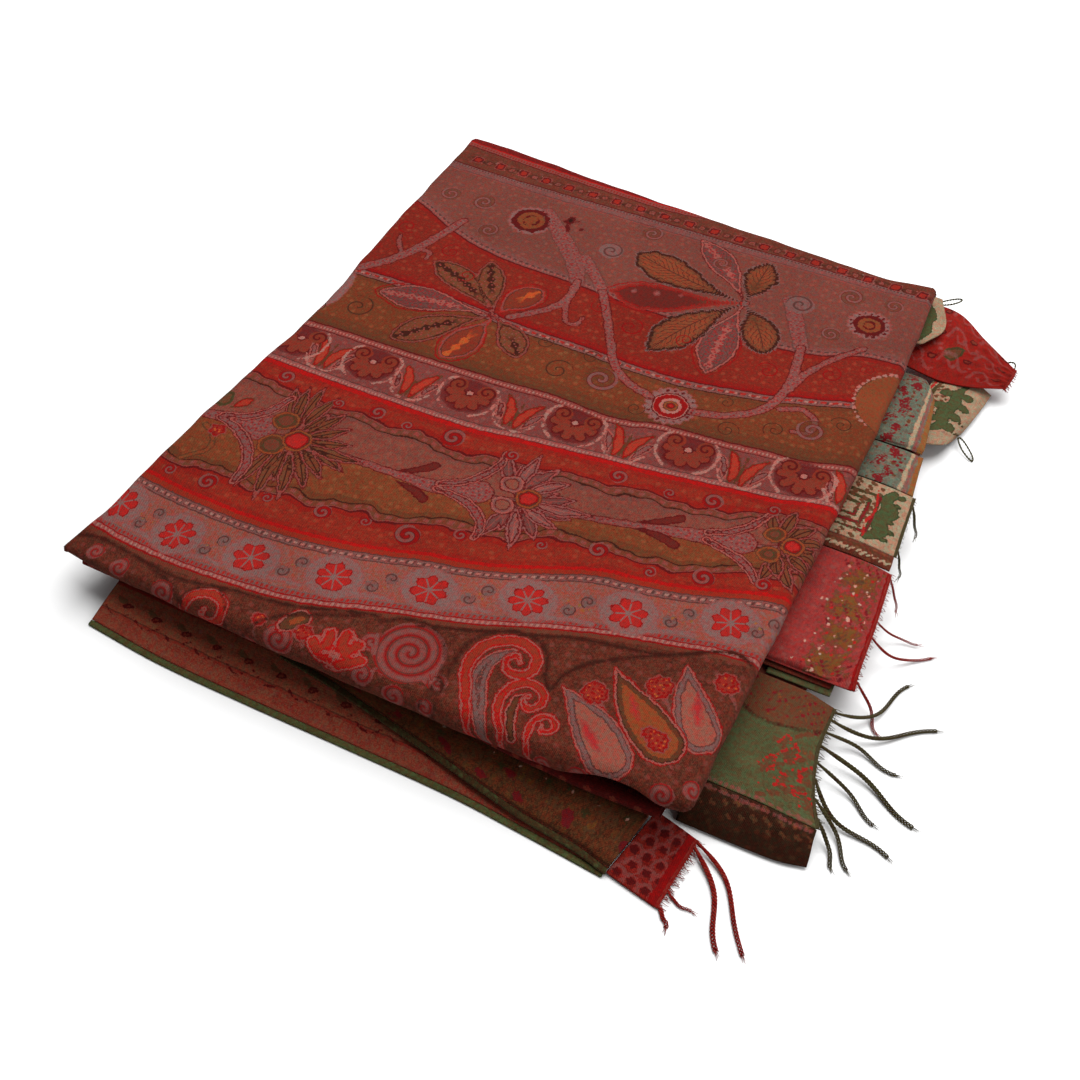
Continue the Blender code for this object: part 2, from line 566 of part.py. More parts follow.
def make_fringe(name, edge_points, locks, colour):
    """Strip beside a free edge, with locks and hairs drawn out of its outer side."""
    edge = curve_through(edge_points, 8)
    lengths = np.concatenate([[0.0], np.cumsum(np.linalg.norm(np.diff(edge, axis=0), axis=1))])
    total = lengths[-1]
    end_margin = END_CLEARANCE + 0.5 * STRIP_WIDTH / total
    rows = sorted(locks + hair_rows(name, locks, end_margin))
    vertices = []
    faces = []

    def at(distance):
        return np.array([np.interp(distance, lengths, edge[:, k]) for k in range(3)])

    def outward(distance):
        step = at(min(distance + 0.5, total)) - at(max(distance - 0.5, 0.0))
        away = np.array([step[1], -step[0]])
        away *= 1.0 if away[0] > 0.0 else -1.0
        return away / np.linalg.norm(away)

    def strip_ring(distance):
        point = at(distance)
        away = outward(distance)
        start = len(vertices)
        low = STRIP_THICKNESS
        for reach, drop in ((SEAM_GAP, 0.0), (SEAM_GAP + STRIP_WIDTH, 0.0),
                            (SEAM_GAP + STRIP_WIDTH, low), (SEAM_GAP, low)):
            vertices.append((point[0] + away[0] * reach, point[1] + away[1] * reach, point[2] - drop))
        return start

    def join(first, second, outer_side):
        for a, b, outer in ((0, 1, False), (1, 2, True), (2, 3, False), (3, 0, False)):
            if outer and not outer_side:
                continue
            faces.append((first + a, first + b, second + b, second + a))

    marks = []
    for row in rows:
        middle = row[0] * total
        marks.append((middle - 0.5 * row[4], middle + 0.5 * row[4], row))
    previous = strip_ring(0.0)
    faces.append((previous, previous + 1, previous + 2, previous + 3))
    for begin, end, row in marks:
        near = strip_ring(begin)
        join(previous, near, True)
        far = strip_ring(end)
        join(near, far, False)
        previous = far
        middle = 0.5 * (begin + end)
        base = at(middle)
        away = outward(middle)
        root = (base[0] + away[0] * (SEAM_GAP + STRIP_WIDTH), base[1] + away[1] * (SEAM_GAP + STRIP_WIDTH),
                base[2] - 0.5 * STRIP_THICKNESS)
        is_hair = row[5] is None
        tip_height = max(root[2] - HAIR_DROP, FLOOR_REST) if is_hair else row[5]
        segments = HAIR_SEGMENTS if is_hair else LOCK_SEGMENTS
        path = lock_path(root, row[1], row[2], row[3], tip_height, segments)
        ring = [near + 1, far + 1, far + 2, near + 2]
        for k in range(1, len(path)):
            direction = np.array(path[k]) - np.array(path[k - 1])
            side = np.array([-direction[1], direction[0]])
            side /= max(np.linalg.norm(side), 1e-6)
            first_side = np.array(vertices[far + 1][:2]) - np.array(vertices[near + 1][:2])
            side *= 1.0 if float(np.dot(side, first_side)) > 0.0 else -1.0
            share = 1.0 - (1.0 - TIP_SHARE) * k / (len(path) - 1)
            half_width = 0.5 * row[4] * share
            half_depth = 0.5 * STRIP_THICKNESS * share
            x, y, z = path[k]
            start = len(vertices)
            vertices.append((x - side[0] * half_width, y - side[1] * half_width, z + half_depth))
            vertices.append((x + side[0] * half_width, y + side[1] * half_width, z + half_depth))
            vertices.append((x + side[0] * half_width, y + side[1] * half_width, z - half_depth))
            vertices.append((x - side[0] * half_width, y - side[1] * half_width, z - half_depth))
            following = [start, start + 1, start + 2, start + 3]
            for a in range(4):
                b = (a + 1) % 4
                faces.append((ring[a], ring[b], following[b], following[a]))
            ring = following
        faces.append(tuple(ring))
    last = strip_ring(total)
    join(previous, last, True)
    faces.append((last, last + 1, last + 2, last + 3))
    return add_solid(name, vertices, faces, colour)


def make_thread_loop(name, colour):
    """Closed loop of yarn, longer than wide, that leans to the ground."""
    x, y, z, half_length, half_width, turn, tilt = THREAD_LOOPS[name]
    turn = math.radians(turn)
    tilt = math.radians(tilt)
    vertices = []
    faces = []
    for k in range(LOOP_STEPS):
        angle = 2.0 * math.pi * k / LOOP_STEPS
        along = half_length * math.cos(angle)
        across = half_width * math.sin(angle)
        for side in range(LOOP_SIDES):
            phase = 2.0 * math.pi * (side + 0.5) / LOOP_SIDES
            grow = 0.5 * THREAD * math.cos(phase)
            rise = 0.5 * THREAD * math.sin(phase)
            a = along + grow * math.cos(angle)
            b = across + grow * math.sin(angle)
            vertices.append((x + a * math.cos(turn) - b * math.sin(turn),
                             y + a * math.sin(turn) + b * math.cos(turn),
                             z - a * math.sin(tilt) + rise))
    for k in range(LOOP_STEPS):
        after = (k + 1) % LOOP_STEPS
        for side in range(LOOP_SIDES):
            beside = (side + 1) % LOOP_SIDES
            faces.append((k * LOOP_SIDES + side, k * LOOP_SIDES + beside,
                          after * LOOP_SIDES + beside, after * LOOP_SIDES + side))
    return add_solid(name, vertices, faces, colour)


def free_edge(rows):
    return list(rows[-1])


def build():
    clear_scene()
    make_hidden_layers()
    make_top_panel()
    make_under_fold()
    make_leaf("lower_leaf", LOWER_LEAF, THIN_CLOTH, "border_brown")
    make_leaf("upper_leaf", UPPER_LEAF, THIN_CLOTH, "border_brown")
    make_selvedge("lower_selvedge", LOWER_LEAF)
    make_selvedge("upper_selvedge", UPPER_LEAF)
    make_leaf("red_block", RED_BLOCK, THIN_CLOTH, "deep_red")
    make_leaf("green_block", GREEN_BLOCK, THIN_CLOTH, "block_green")
    make_leaf("brown_band", BROWN_BAND, THIN_CLOTH, "border_brown")
    make_leaf("pink_block", PINK_BLOCK, THIN_CLOTH, "block_pink")
    make_leaf("red_under_leaf", RED_UNDER_LEAF, THIN_CLOTH, "deep_red")
    make_leaf("green_under_leaf", GREEN_UNDER_LEAF, THIN_CLOTH, "block_green")
    make_leaf("cream_band", CREAM_BAND, THIN_CLOTH, "border_brown")
    make_leaf("cream_block", CREAM_BLOCK, THIN_CLOTH, "block_cream")
    make_leaf("blue_block_front", BLUE_BLOCK_FRONT, THIN_CLOTH, "block_blue")
    make_leaf("blue_block_back", BLUE_BLOCK_BACK, THIN_CLOTH, "block_blue")
    make_leaf("leaf_block", LEAF_BLOCK, THIN_CLOTH, "block_cream")
    make_leaf("red_corner", RED_CORNER, THIN_CLOTH, "fringe_red")
    make_leaf("cream_corner", CREAM_CORNER, THIN_CLOTH, "block_cream")
    make_fringe("red_fringe", free_edge(RED_BLOCK), RED_LOCKS, "fringe_red")
    make_fringe("green_fringe", free_edge(GREEN_BLOCK)[::-1], GREEN_LOCKS, "fringe_olive")
    make_fringe("pink_fringe", free_edge(PINK_BLOCK)[::-1], PINK_LOCKS, "fringe_red")
    make_fringe("cream_fringe", free_edge(CREAM_BLOCK), CREAM_LOCKS, "fringe_olive")
    make_fringe("corner_fringe", free_edge(RED_CORNER), [], "fringe_red")
    make_thread_loop("leaf_thread_loop", "fringe_olive")
    make_thread_loop("corner_thread_loop", "fringe_olive")
    make_thread_loop("back_thread_loop", "fringe_olive")


build()
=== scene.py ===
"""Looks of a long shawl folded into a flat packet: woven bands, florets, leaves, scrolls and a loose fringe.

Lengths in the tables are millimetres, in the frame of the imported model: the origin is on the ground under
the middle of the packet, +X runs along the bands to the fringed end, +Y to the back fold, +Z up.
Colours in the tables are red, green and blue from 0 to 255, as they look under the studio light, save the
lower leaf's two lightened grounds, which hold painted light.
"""
import math

import bpy
import numpy as np
from mathutils import Matrix, Vector


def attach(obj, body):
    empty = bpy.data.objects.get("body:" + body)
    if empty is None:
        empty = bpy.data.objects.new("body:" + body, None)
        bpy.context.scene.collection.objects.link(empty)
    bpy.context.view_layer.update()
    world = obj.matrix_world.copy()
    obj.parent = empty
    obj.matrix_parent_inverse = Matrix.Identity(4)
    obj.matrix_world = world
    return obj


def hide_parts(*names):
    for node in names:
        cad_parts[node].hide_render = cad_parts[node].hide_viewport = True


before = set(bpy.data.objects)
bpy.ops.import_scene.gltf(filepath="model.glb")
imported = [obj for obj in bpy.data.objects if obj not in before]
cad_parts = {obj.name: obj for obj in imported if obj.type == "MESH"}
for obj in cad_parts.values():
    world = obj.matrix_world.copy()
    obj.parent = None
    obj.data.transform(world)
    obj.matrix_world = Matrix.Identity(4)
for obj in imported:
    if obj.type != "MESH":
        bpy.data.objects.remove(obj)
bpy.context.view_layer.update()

MM = 0.001
BODY = "root"

# ---------------------------------------------------------------- form, as in the solids
PACKET_HEIGHT = 48.0
CLOTH = 1.4
THIN_CLOTH = 1.2
SEAM_GAP = 0.3
LAY_GAP = 0.35
GROUND_GAP = 0.5
FRONT_LINE = -243.0
FRONT_SAG = 1.8
FRONT_SAG_WIDTH = 34.0
CORNER_SAG = {"x": -215.0, "y": -255.0, "reach": 85.0, "depth": 12.0}
SWELLS = [
    # soft rises of the upper face: x, y, reach, height
    (-70, 60, 70, 0.9), (95, -130, 60, 0.8), (110, 120, 65, 0.7), (-90, -120, 55, 0.7),
]
FOLDS = {
    # x, y, radius of the roll, how far it turns in degrees
    "front": [
        (-208, -241, 2.8, 140), (-150, -241.5, 6.5, 155), (-67, -243, 9, 160), (55, -243, 9.5, 160),
        (118, -242, 9.5, 150), (143, -241, 9.2, 96), (162, -240.5, 9, 58), (182, -240, 8.5, 56),
        (196, -239.5, 8, 92), (207, -239, 7, 128),
    ],
    "right": [
        (207, -239, 7, 128), (206.5, -179, 6.5, 150), (206, -90, 6, 150), (205, 20, 6, 150),
        (201.5, 136, 6, 150), (197.5, 231, 4.5, 140),
    ],
    "back": [
        (-186.5, 249.5, 5, 140), (-148, 248, 6, 150), (-75, 241, 6, 150), (13, 235, 6, 150),
        (96, 230, 6, 150), (160, 226, 6, 150), (197.5, 231, 4.5, 140),
    ],
    "left": [
        (-208, -241, 2.8, 140), (-198.5, -196, 3.4, 145), (-193, -140, 4, 150), (-186, -60, 5, 150),
        (-180.5, 20, 5, 150), (-184, 105, 5, 150), (-186.5, 249.5, 5, 140),
    ],
}
TOP_CELLS = (268, 318)        # along X and Y
ROLL_CELLS = {"front": 16, "right": 10, "back": 9, "left": 8}

PACKET_CORNERS_BEFORE_STEP = [(-190.0, -231.0), (-90.0, -232.0), (50.0, -232.0), (194.0, -231.0)]
PACKET_CORNERS_AFTER_STEP = [
    (190.0, 220.0), (60.0, 226.0), (-80.0, 236.0), (-180.0, 240.0),
    (-178.0, 110.0), (-172.0, 20.0), (-181.0, -110.0),
]
STEP_CORNERS = {
    "long": [(200.0, -202.0), (236.0, -198.0), (236.0, 160.0), (200.0, 166.0)],
    "short": [(200.0, -108.0), (236.0, -104.0), (236.0, 96.0), (200.0, 102.0)],
    "none": [(194.0, -112.0), (194.0, -104.0), (193.0, 96.0), (193.0, 104.0)],
}
STACK = [  # hidden layers, three to a stretch of the stack
    # bottom, top, step, number of layers
    (0.0, 16.5, "long", 9),
    (16.5, 25.0, "short", 5),
    (25.0, PACKET_HEIGHT - CLOTH - LAY_GAP, "none", 10),
]
STACK_POINTS = 420            # points round a layer
STACK_WANDER = 1.1            # how far a layer's edge wanders in and out
STACK_SEAM_DEPTH = 1.5
STACK_EDGE_PROFILE = ((0.0, STACK_SEAM_DEPTH), (0.18, 0.35), (0.5, 0.0), (0.82, 0.35))   # height share, inset
STACK_FOLD_INSET = 0.8        # how far back every third layer lies
STACK_LID_SHARES = (0.97, 0.8, 0.5, 0.2)
STACK_LID_GAP = 0.4
STACK_LENGTH = 1900.0         # length of cloth round the stack
STACK_RING_PITCH = 0.8        # height of cloth between two rings of points
CORNER_ROUND = 7.0
CORNER_SETTLE = 1.15

UNDER_FOLD = [
    # x, y of its nose, z of its middle, half height
    (-197, -243.5, 25.6, 2.6), (-150, -242, 23.4, 3), (-60, -241.5, 23.2, 3.2), (20, -243, 22.9, 3.8),
    (110, -246.5, 22.6, 4.4), (165, -247.5, 22.5, 4.6), (197, -246, 22.6, 4.4),
]
UNDER_FOLD_DEPTH = 6.0

LEAVES = {
    # each row runs from the packet outwards or from left to right, as the solids' rows do
    "lower_leaf": [
        ((-176, -234.8, 15), (-178, -251, 8.6), (-180, -264, 2.3)),
        ((-123, -234.8, 15.2), (-123, -253, 8.8), (-123, -269, 2.3)),
        ((-60, -234.8, 15.2), (-60, -253.5, 8.8), (-60, -270, 2.3)),
        ((10, -234.8, 15), (10, -254, 8.2), (10, -270, 2.3)),
        ((80, -234.8, 15), (80, -254, 8), (80, -270.5, 2.3)),
        ((130, -234.8, 15), (128, -256, 8), (126, -273.5, 2.3)),
        ((191, -234.8, 14.6), (186, -257.5, 8), (180, -278, 2.3)),
    ],
    "upper_leaf": [
        ((-52, -235.3, 17.4), (-52, -237.5, 17), (-52, -239.5, 16.4)),
        ((-14, -235.3, 17.4), (-14, -240, 16.6), (-14, -244, 15.4)),
        ((30, -235.3, 17.4), (29, -243.5, 16.2), (28, -251, 13.2)),
        ((78, -235.3, 17.4), (76, -248, 15), (74, -259.5, 11.2)),
        ((126, -235.3, 17.3), (124, -252.5, 13.6), (122, -268.5, 8.6)),
        ((164, -235.3, 17.2), (162, -255, 12.6), (159, -272.5, 6.8)),
        ((191, -235.3, 17), (187, -257, 11.6), (181.5, -277, 4.7)),
    ],
    "red_block": [
        ((181.2, -278.5, 2.4), (187, -257.5, 8.2), (192.2, -237, 13.4)),
        ((198, -282, 2.1), (201, -258.5, 4.4), (205, -237, 8)),
        ((213, -285, 2), (215, -260, 2.8), (217, -238, 4.2)),
    ],
    "green_block": [
        ((202.5, -209, 18.6), (202.5, -190, 19.4), (202.5, -160, 19.8), (202.5, -126.5, 20)),
        ((224, -209, 18.6), (224, -188, 19.2), (224, -160, 19.6), (224, -126.5, 19.8)),
        ((241, -209, 18.5), (240, -188, 18.8), (240, -158, 19), (240, -126.5, 19)),
        ((258, -209, 17), (252, -187, 15.6), (249, -157, 15.6), (249, -126.5, 16)),
        ((275, -208.5, 14.8), (264, -185, 13), (257, -157, 13.2), (256, -126.5, 13.6)),
    ],
    "brown_band": [
        ((202, -231, 2.2), (202, -225, 9.4), (202, -217, 15.4), (202, -209.6, 18.5)),
        ((240, -230.5, 2.2), (240, -224.6, 9.2), (240, -217, 15.2), (240, -209.6, 18.4)),
        ((262, -229.5, 2.2), (262, -224, 8.6), (262, -217, 14), (262, -209.6, 16.6)),
        ((277.5, -226, 2.2), (277, -221, 7.4), (276, -215, 12.2), (275.6, -209.2, 14.7)),
    ],
    "pink_block": [
        ((202.5, -118, 23.6), (202.5, -111, 27), (196, -70, 28.4), (196, -22, 28.6)),
        ((231, -118, 23.4), (231, -111, 26.8), (231, -68, 27.8), (231, -22, 28)),
        ((247, -117.5, 22.8), (247, -110, 25.6), (247, -66, 26.2), (245, -22, 26.6)),
        ((262, -115, 20.6), (260, -100, 22.6), (257.5, -62, 23.6), (253.5, -22, 24.6)),
    ],
    "red_under_leaf": [
        ((204, -120, 21), (204, -114.5, 21.6), (204, -108.6, 21.8)),
        ((230, -120, 20.9), (230, -114, 21.5), (230, -107.8, 21.7)),
        ((250, -118.5, 18.8), (250, -113, 20.2), (250, -107.5, 20.6)),
    ],
    "green_under_leaf": [
        ((212, -123.6, 18.9), (212, -116, 19.4), (212, -107.5, 19.7)),
        ((232, -123.6, 18.9), (232, -116, 19.4), (232, -107.5, 19.7)),
        ((251.5, -122, 16.6), (251.5, -114, 18), (251.5, -107.5, 18.6)),
    ],
    "cream_band": [
        ((196, -21.3, 28.4), (196, -17.5, 30.4), (196, -12.5, 30.4), (196, -8.6, 29)),
        ((230, -21.3, 27.8), (230, -17.5, 30), (230, -12.5, 30), (230, -8.6, 28.4)),
        ((253, -20.5, 24.8), (253, -17, 26.4), (252.5, -12.5, 26.6), (252, -8.6, 25.6)),
    ],
    "cream_block": [
        ((196, -8, 28.8), (196, 20, 28.8), (196, 46.5, 28.8)),
        ((230, -8, 28.2), (230, 20, 28), (229, 46.5, 28)),
        ((251.5, -8, 25.4), (249, 20, 25.6), (247, 46.5, 25.8)),
    ],
    "blue_block_front": [
        ((196, 47.2, 29.2), (196, 66, 29.6), (196, 84, 28.8)),
        ((228, 47.2, 28.6), (228, 66, 28.8), (228, 84, 28)),
        ((246.5, 47.2, 26), (244, 66, 26.4), (242, 84, 26.2)),
    ],
    "blue_block_back": [
        ((196, 84.6, 29.6), (196, 90, 32.2), (196, 120, 33.4), (196, 150, 31.6), (196, 164, 24)),
        ((219, 84.6, 29), (219, 90, 31.6), (219, 120, 33), (218, 150, 30.8), (217, 165, 22.6)),
        ((231, 86, 28), (231, 92, 30.2), (229, 120, 31.2), (227, 146, 28.8), (224, 160, 21.6)),
        ((240, 88, 25.6), (240, 94, 27), (236, 120, 27.4), (232, 142, 25.4), (227, 155, 20.6)),
    ],
    "leaf_block": [
        ((222, 106, 18.4), (222, 130, 18.4), (222, 156, 18.4), (224, 186, 13)),
        ((238, 108, 18), (239, 131, 17.4), (240, 160, 16.6), (241, 189, 12)),
        ((249, 118, 12.6), (252, 137, 11.6), (254, 164, 11), (254, 191, 9)),
        ((252, 130, 6.4), (256, 145, 5.4), (260, 167, 5), (263, 190, 5)),
    ],
    "red_corner": [
        ((192, 172, 26), (191.6, 196, 29), (191.4, 220, 31), (193, 238, 31.4)),
        ((224, 174, 17.6), (224, 194, 25), (223, 218, 29.4), (221, 237, 29.6)),
        ((246, 180, 14.6), (247, 195, 20.6), (247, 209, 25), (245, 221, 26.4)),
        ((269, 191, 13), (270.5, 196, 15.8), (271.5, 202, 18), (271.5, 208, 19.2)),
    ],
    "cream_corner": [
        ((191.4, 184, 34.6), (190.9, 214, 35), (192, 240, 35)),
        ((205, 186, 34.2), (207, 214, 34.8), (201, 241, 34.8)),
        ((208, 188, 33.8), (217, 211, 33.8), (206, 241, 34.4)),
    ],
}
LEAF_CELL = 0.9               # size of a leaf's cells
LONG_LEAF = 100.0
LONG_LEAF_CELL = 1.4
STRIP_CELLS = 260             # cells along a selvedge and along the under fold
SELVEDGE_WIDTH = 3.0
SELVEDGE_THICKNESS = 1.6

STRIP_WIDTH = 1.8
STRIP_THICKNESS = 1.0
STRIP_ROWS = [
    # distance from the leaf's edge, drop below its upper face, half width of the yarn
    (0.05, 0.12, 0.30),
    (0.45, 0.50, 0.34),
    (1.00, 0.50, 0.34),
    (1.55, 0.50, 0.34),
]
STRIP_STEPS = 59
LOCK_POINTS = 64
FALL_POWER = 2.4
SWAY_TURNS = 0.7
PLIES = 3
PLY_PITCH = 6.4               # length of one turn of a lock's twist
PLY_SHARE = 0.86              # a ply's half width, as a share of the lock's
FRAYED_ENDS = 5
HAIR_POINTS = 5
HAIR_DROP = 1.5
TUBE_SIDES = 6
HAIR_SIDES = 4
HAIR_ROOT = 0.24              # distance of the short hairs' roots from the leaf's edge
LOCKS = {
    # share of the edge, reach along X, reach along Y, sideways sway, width, height of the tip
    "red_fringe": [
        (0.03, 9, -9, 0.5, 1.6, 1), (0.26, 15, -7, -1.2, 1.2, 1), (0.9, 37, -49, 4, 2, 1),
        (0.975, 50, -47, 5.5, 1.8, 1),
    ],
    "green_fringe": [
        (0.03, 36, 44, -6, 1.6, 1), (0.1, 58, 26, -5, 1.8, 1), (0.21, 44, 2, 4, 1.6, 1),
        (0.33, 64, -17, 4, 2, 1), (0.47, 42, -14, 3, 1.6, 1), (0.6, 50, -26, -5, 1.8, 1),
        (0.76, 32, -25, 3, 1.6, 1), (0.93, 17, -15, 2, 1.6, 1),
    ],
    "pink_fringe": [
        (0.04, 11, -9, 1.5, 1, 9), (0.42, 24, 14, 2, 1.1, 2), (0.56, 36, 17, -3, 1.3, 1),
        (0.93, 22, -12, 3.5, 1.3, 1),
    ],
    "cream_fringe": [(0.1, 7, -10, 1, 1, 14), (0.86, 9, -12, 1, 1.2, 12)],
    "corner_fringe": [],
}
FRINGES = {
    # the leaf whose free edge it leaves, whether that edge runs backwards, record slot
    "red_fringe": ("red_block", False, "red_fringe"),
    "green_fringe": ("green_block", True, "olive_fringe"),
    "pink_fringe": ("pink_block", True, "red_fringe"),
    "cream_fringe": ("cream_block", False, "olive_fringe"),
    "corner_fringe": ("red_corner", False, "red_fringe"),
}
HAIRS = {
    # count, length, spread in degrees, thickness
    "red_fringe": (90, 6.5, 34, 0.3),
    "green_fringe": (120, 5.5, 30, 0.32),
    "pink_fringe": (130, 4.5, 34, 0.3),
    "cream_fringe": (70, 3, 30, 0.28),
    "corner_fringe": (70, 4.2, 50, 0.3),
}
THREAD_LOOPS = {
    # centre x, y, z, half length, half width, turn, tilt towards the ground in degrees
    "leaf_thread_loop": (262, 130.1, 3.3, 9.6, 2.4, -42, 14),
    "corner_thread_loop": (263.8, 204.6, 13.5, 16, 5.6, 71, -4.3),
    "back_thread_loop": (211.5, 245.2, 30.9, 9, 2.4, 43, 0),
}

# ---------------------------------------------------------------- looks
LIGHT_LEVEL = (1.68, 1.80, 1.82)   # red, green and blue light on the upper face; 1 makes white just clip
CREASES = [
    # soft ridges and troughs of the top stretch: x, y of one end, x, y of the other, width, height
    (58, 40, 66, -40, 9, 0.45), (62, -30, 58, -150, 14, -0.4), (180, 60, 192, -60, 10, 0.6),
    (168, -100, 150, -235, 16, -0.7), (188, -150, 176, -240, 12, 0.8), (-30, -180, -110, -236, 18, 0.8),
    (20, -236, 130, -205, 15, -0.6), (-182, 150, -150, -40, 16, 0.5), (-140, -40, -175, -200, 18, -0.6),
    (-60, 225, 120, 205, 12, 0.5), (150, 214, 196, 150, 14, -0.5), (-120, -20, 20, 10, 20, 0.35),
    (-10, 190, 30, 60, 22, -0.4),
]
ROLL_RIPPLES = [
    # uneven swellings along the rolled folds: wave length, height, phase
    (61, 0.35, 0.4), (37, 0.22, 1.9), (21, 0.1, 4.2),
]
CURVE_STEPS = 6               # steps of a drawn line between two given points
NET_STEPS = 24


def curve_through(points, steps):
    """Points on a smooth curve through the given ones, with equal steps between two of them."""
    given = np.array(points, dtype=float)
    line = np.vstack([2.0 * given[0] - given[1], given, 2.0 * given[-1] - given[-2]])
    curve = []
    for i in range(1, len(line) - 2):
        a, b, c, d = line[i - 1], line[i], line[i + 1], line[i + 2]
        for step in range(steps):
            t = step / steps
            curve.append(0.5 * (2 * b + (c - a) * t + (2 * a - 5 * b + 4 * c - d) * t ** 2
                                + (3 * b - 3 * c + d - a) * t ** 3))
    curve.append(line[-2])
    return np.array(curve)


def resample(points, count):
    """The same curve with count equal steps of its parameter."""
    fine = curve_through(points, NET_STEPS)
    places = np.linspace(0.0, len(fine) - 1.0, count + 1)
    return along_line(places, np.arange(len(fine)), fine)


def along_line(places, lengths, line):
    """Points at the places given, on a line whose points lie at the lengths given."""
    return np.column_stack([np.interp(places, lengths, line[:, k]) for k in range(line.shape[1])])


def running_length(line):
    """Length along a line, up to each of its points."""
    return np.concatenate([[0.0], np.cumsum(np.linalg.norm(np.diff(line, axis=0), axis=1))])


def line_frame(line):
    """Unit directions along a line, to its side and over it, at each of its points."""
    along = np.gradient(line, axis=0)
    along /= np.maximum(np.linalg.norm(along, axis=1, keepdims=True), 1e-9)
    side = np.cross(along, np.array([0.0, 0.0, 1.0]))
    side /= np.maximum(np.linalg.norm(side, axis=1, keepdims=True), 1e-6)
    return along, side, np.cross(side, along)


def smooth_net(rows, count_along, count_across):
    """Grid of points through rows of given points, with so many cells each way."""
    across = [resample(row, count_across) for row in rows]
    columns = [resample([row[j] for row in across], count_along) for j in range(count_across + 1)]
    return np.array(columns).transpose(1, 0, 2)


def grid_normals(grid):
    """Unit normal at each point of a grid."""
    normal = np.cross(np.gradient(grid, axis=0), np.gradient(grid, axis=1))
    return normal / np.maximum(np.linalg.norm(normal, axis=2, keepdims=True), 1e-9)


# ---------------------------------------------------------------- drawing motifs on cloth
FAR = 9.0                     # distances beyond this aren't kept
LAYER_LOW = -9.0              # distances between which a layer's colours follow each other
LAYER_HIGH = 3.0
LAYER_REACH = LAYER_HIGH - LAYER_LOW


def layer_share(distance):
    """Place of a distance between LAYER_LOW and LAYER_HIGH, from 0 to 1."""
    return (distance - LAYER_LOW) / LAYER_REACH


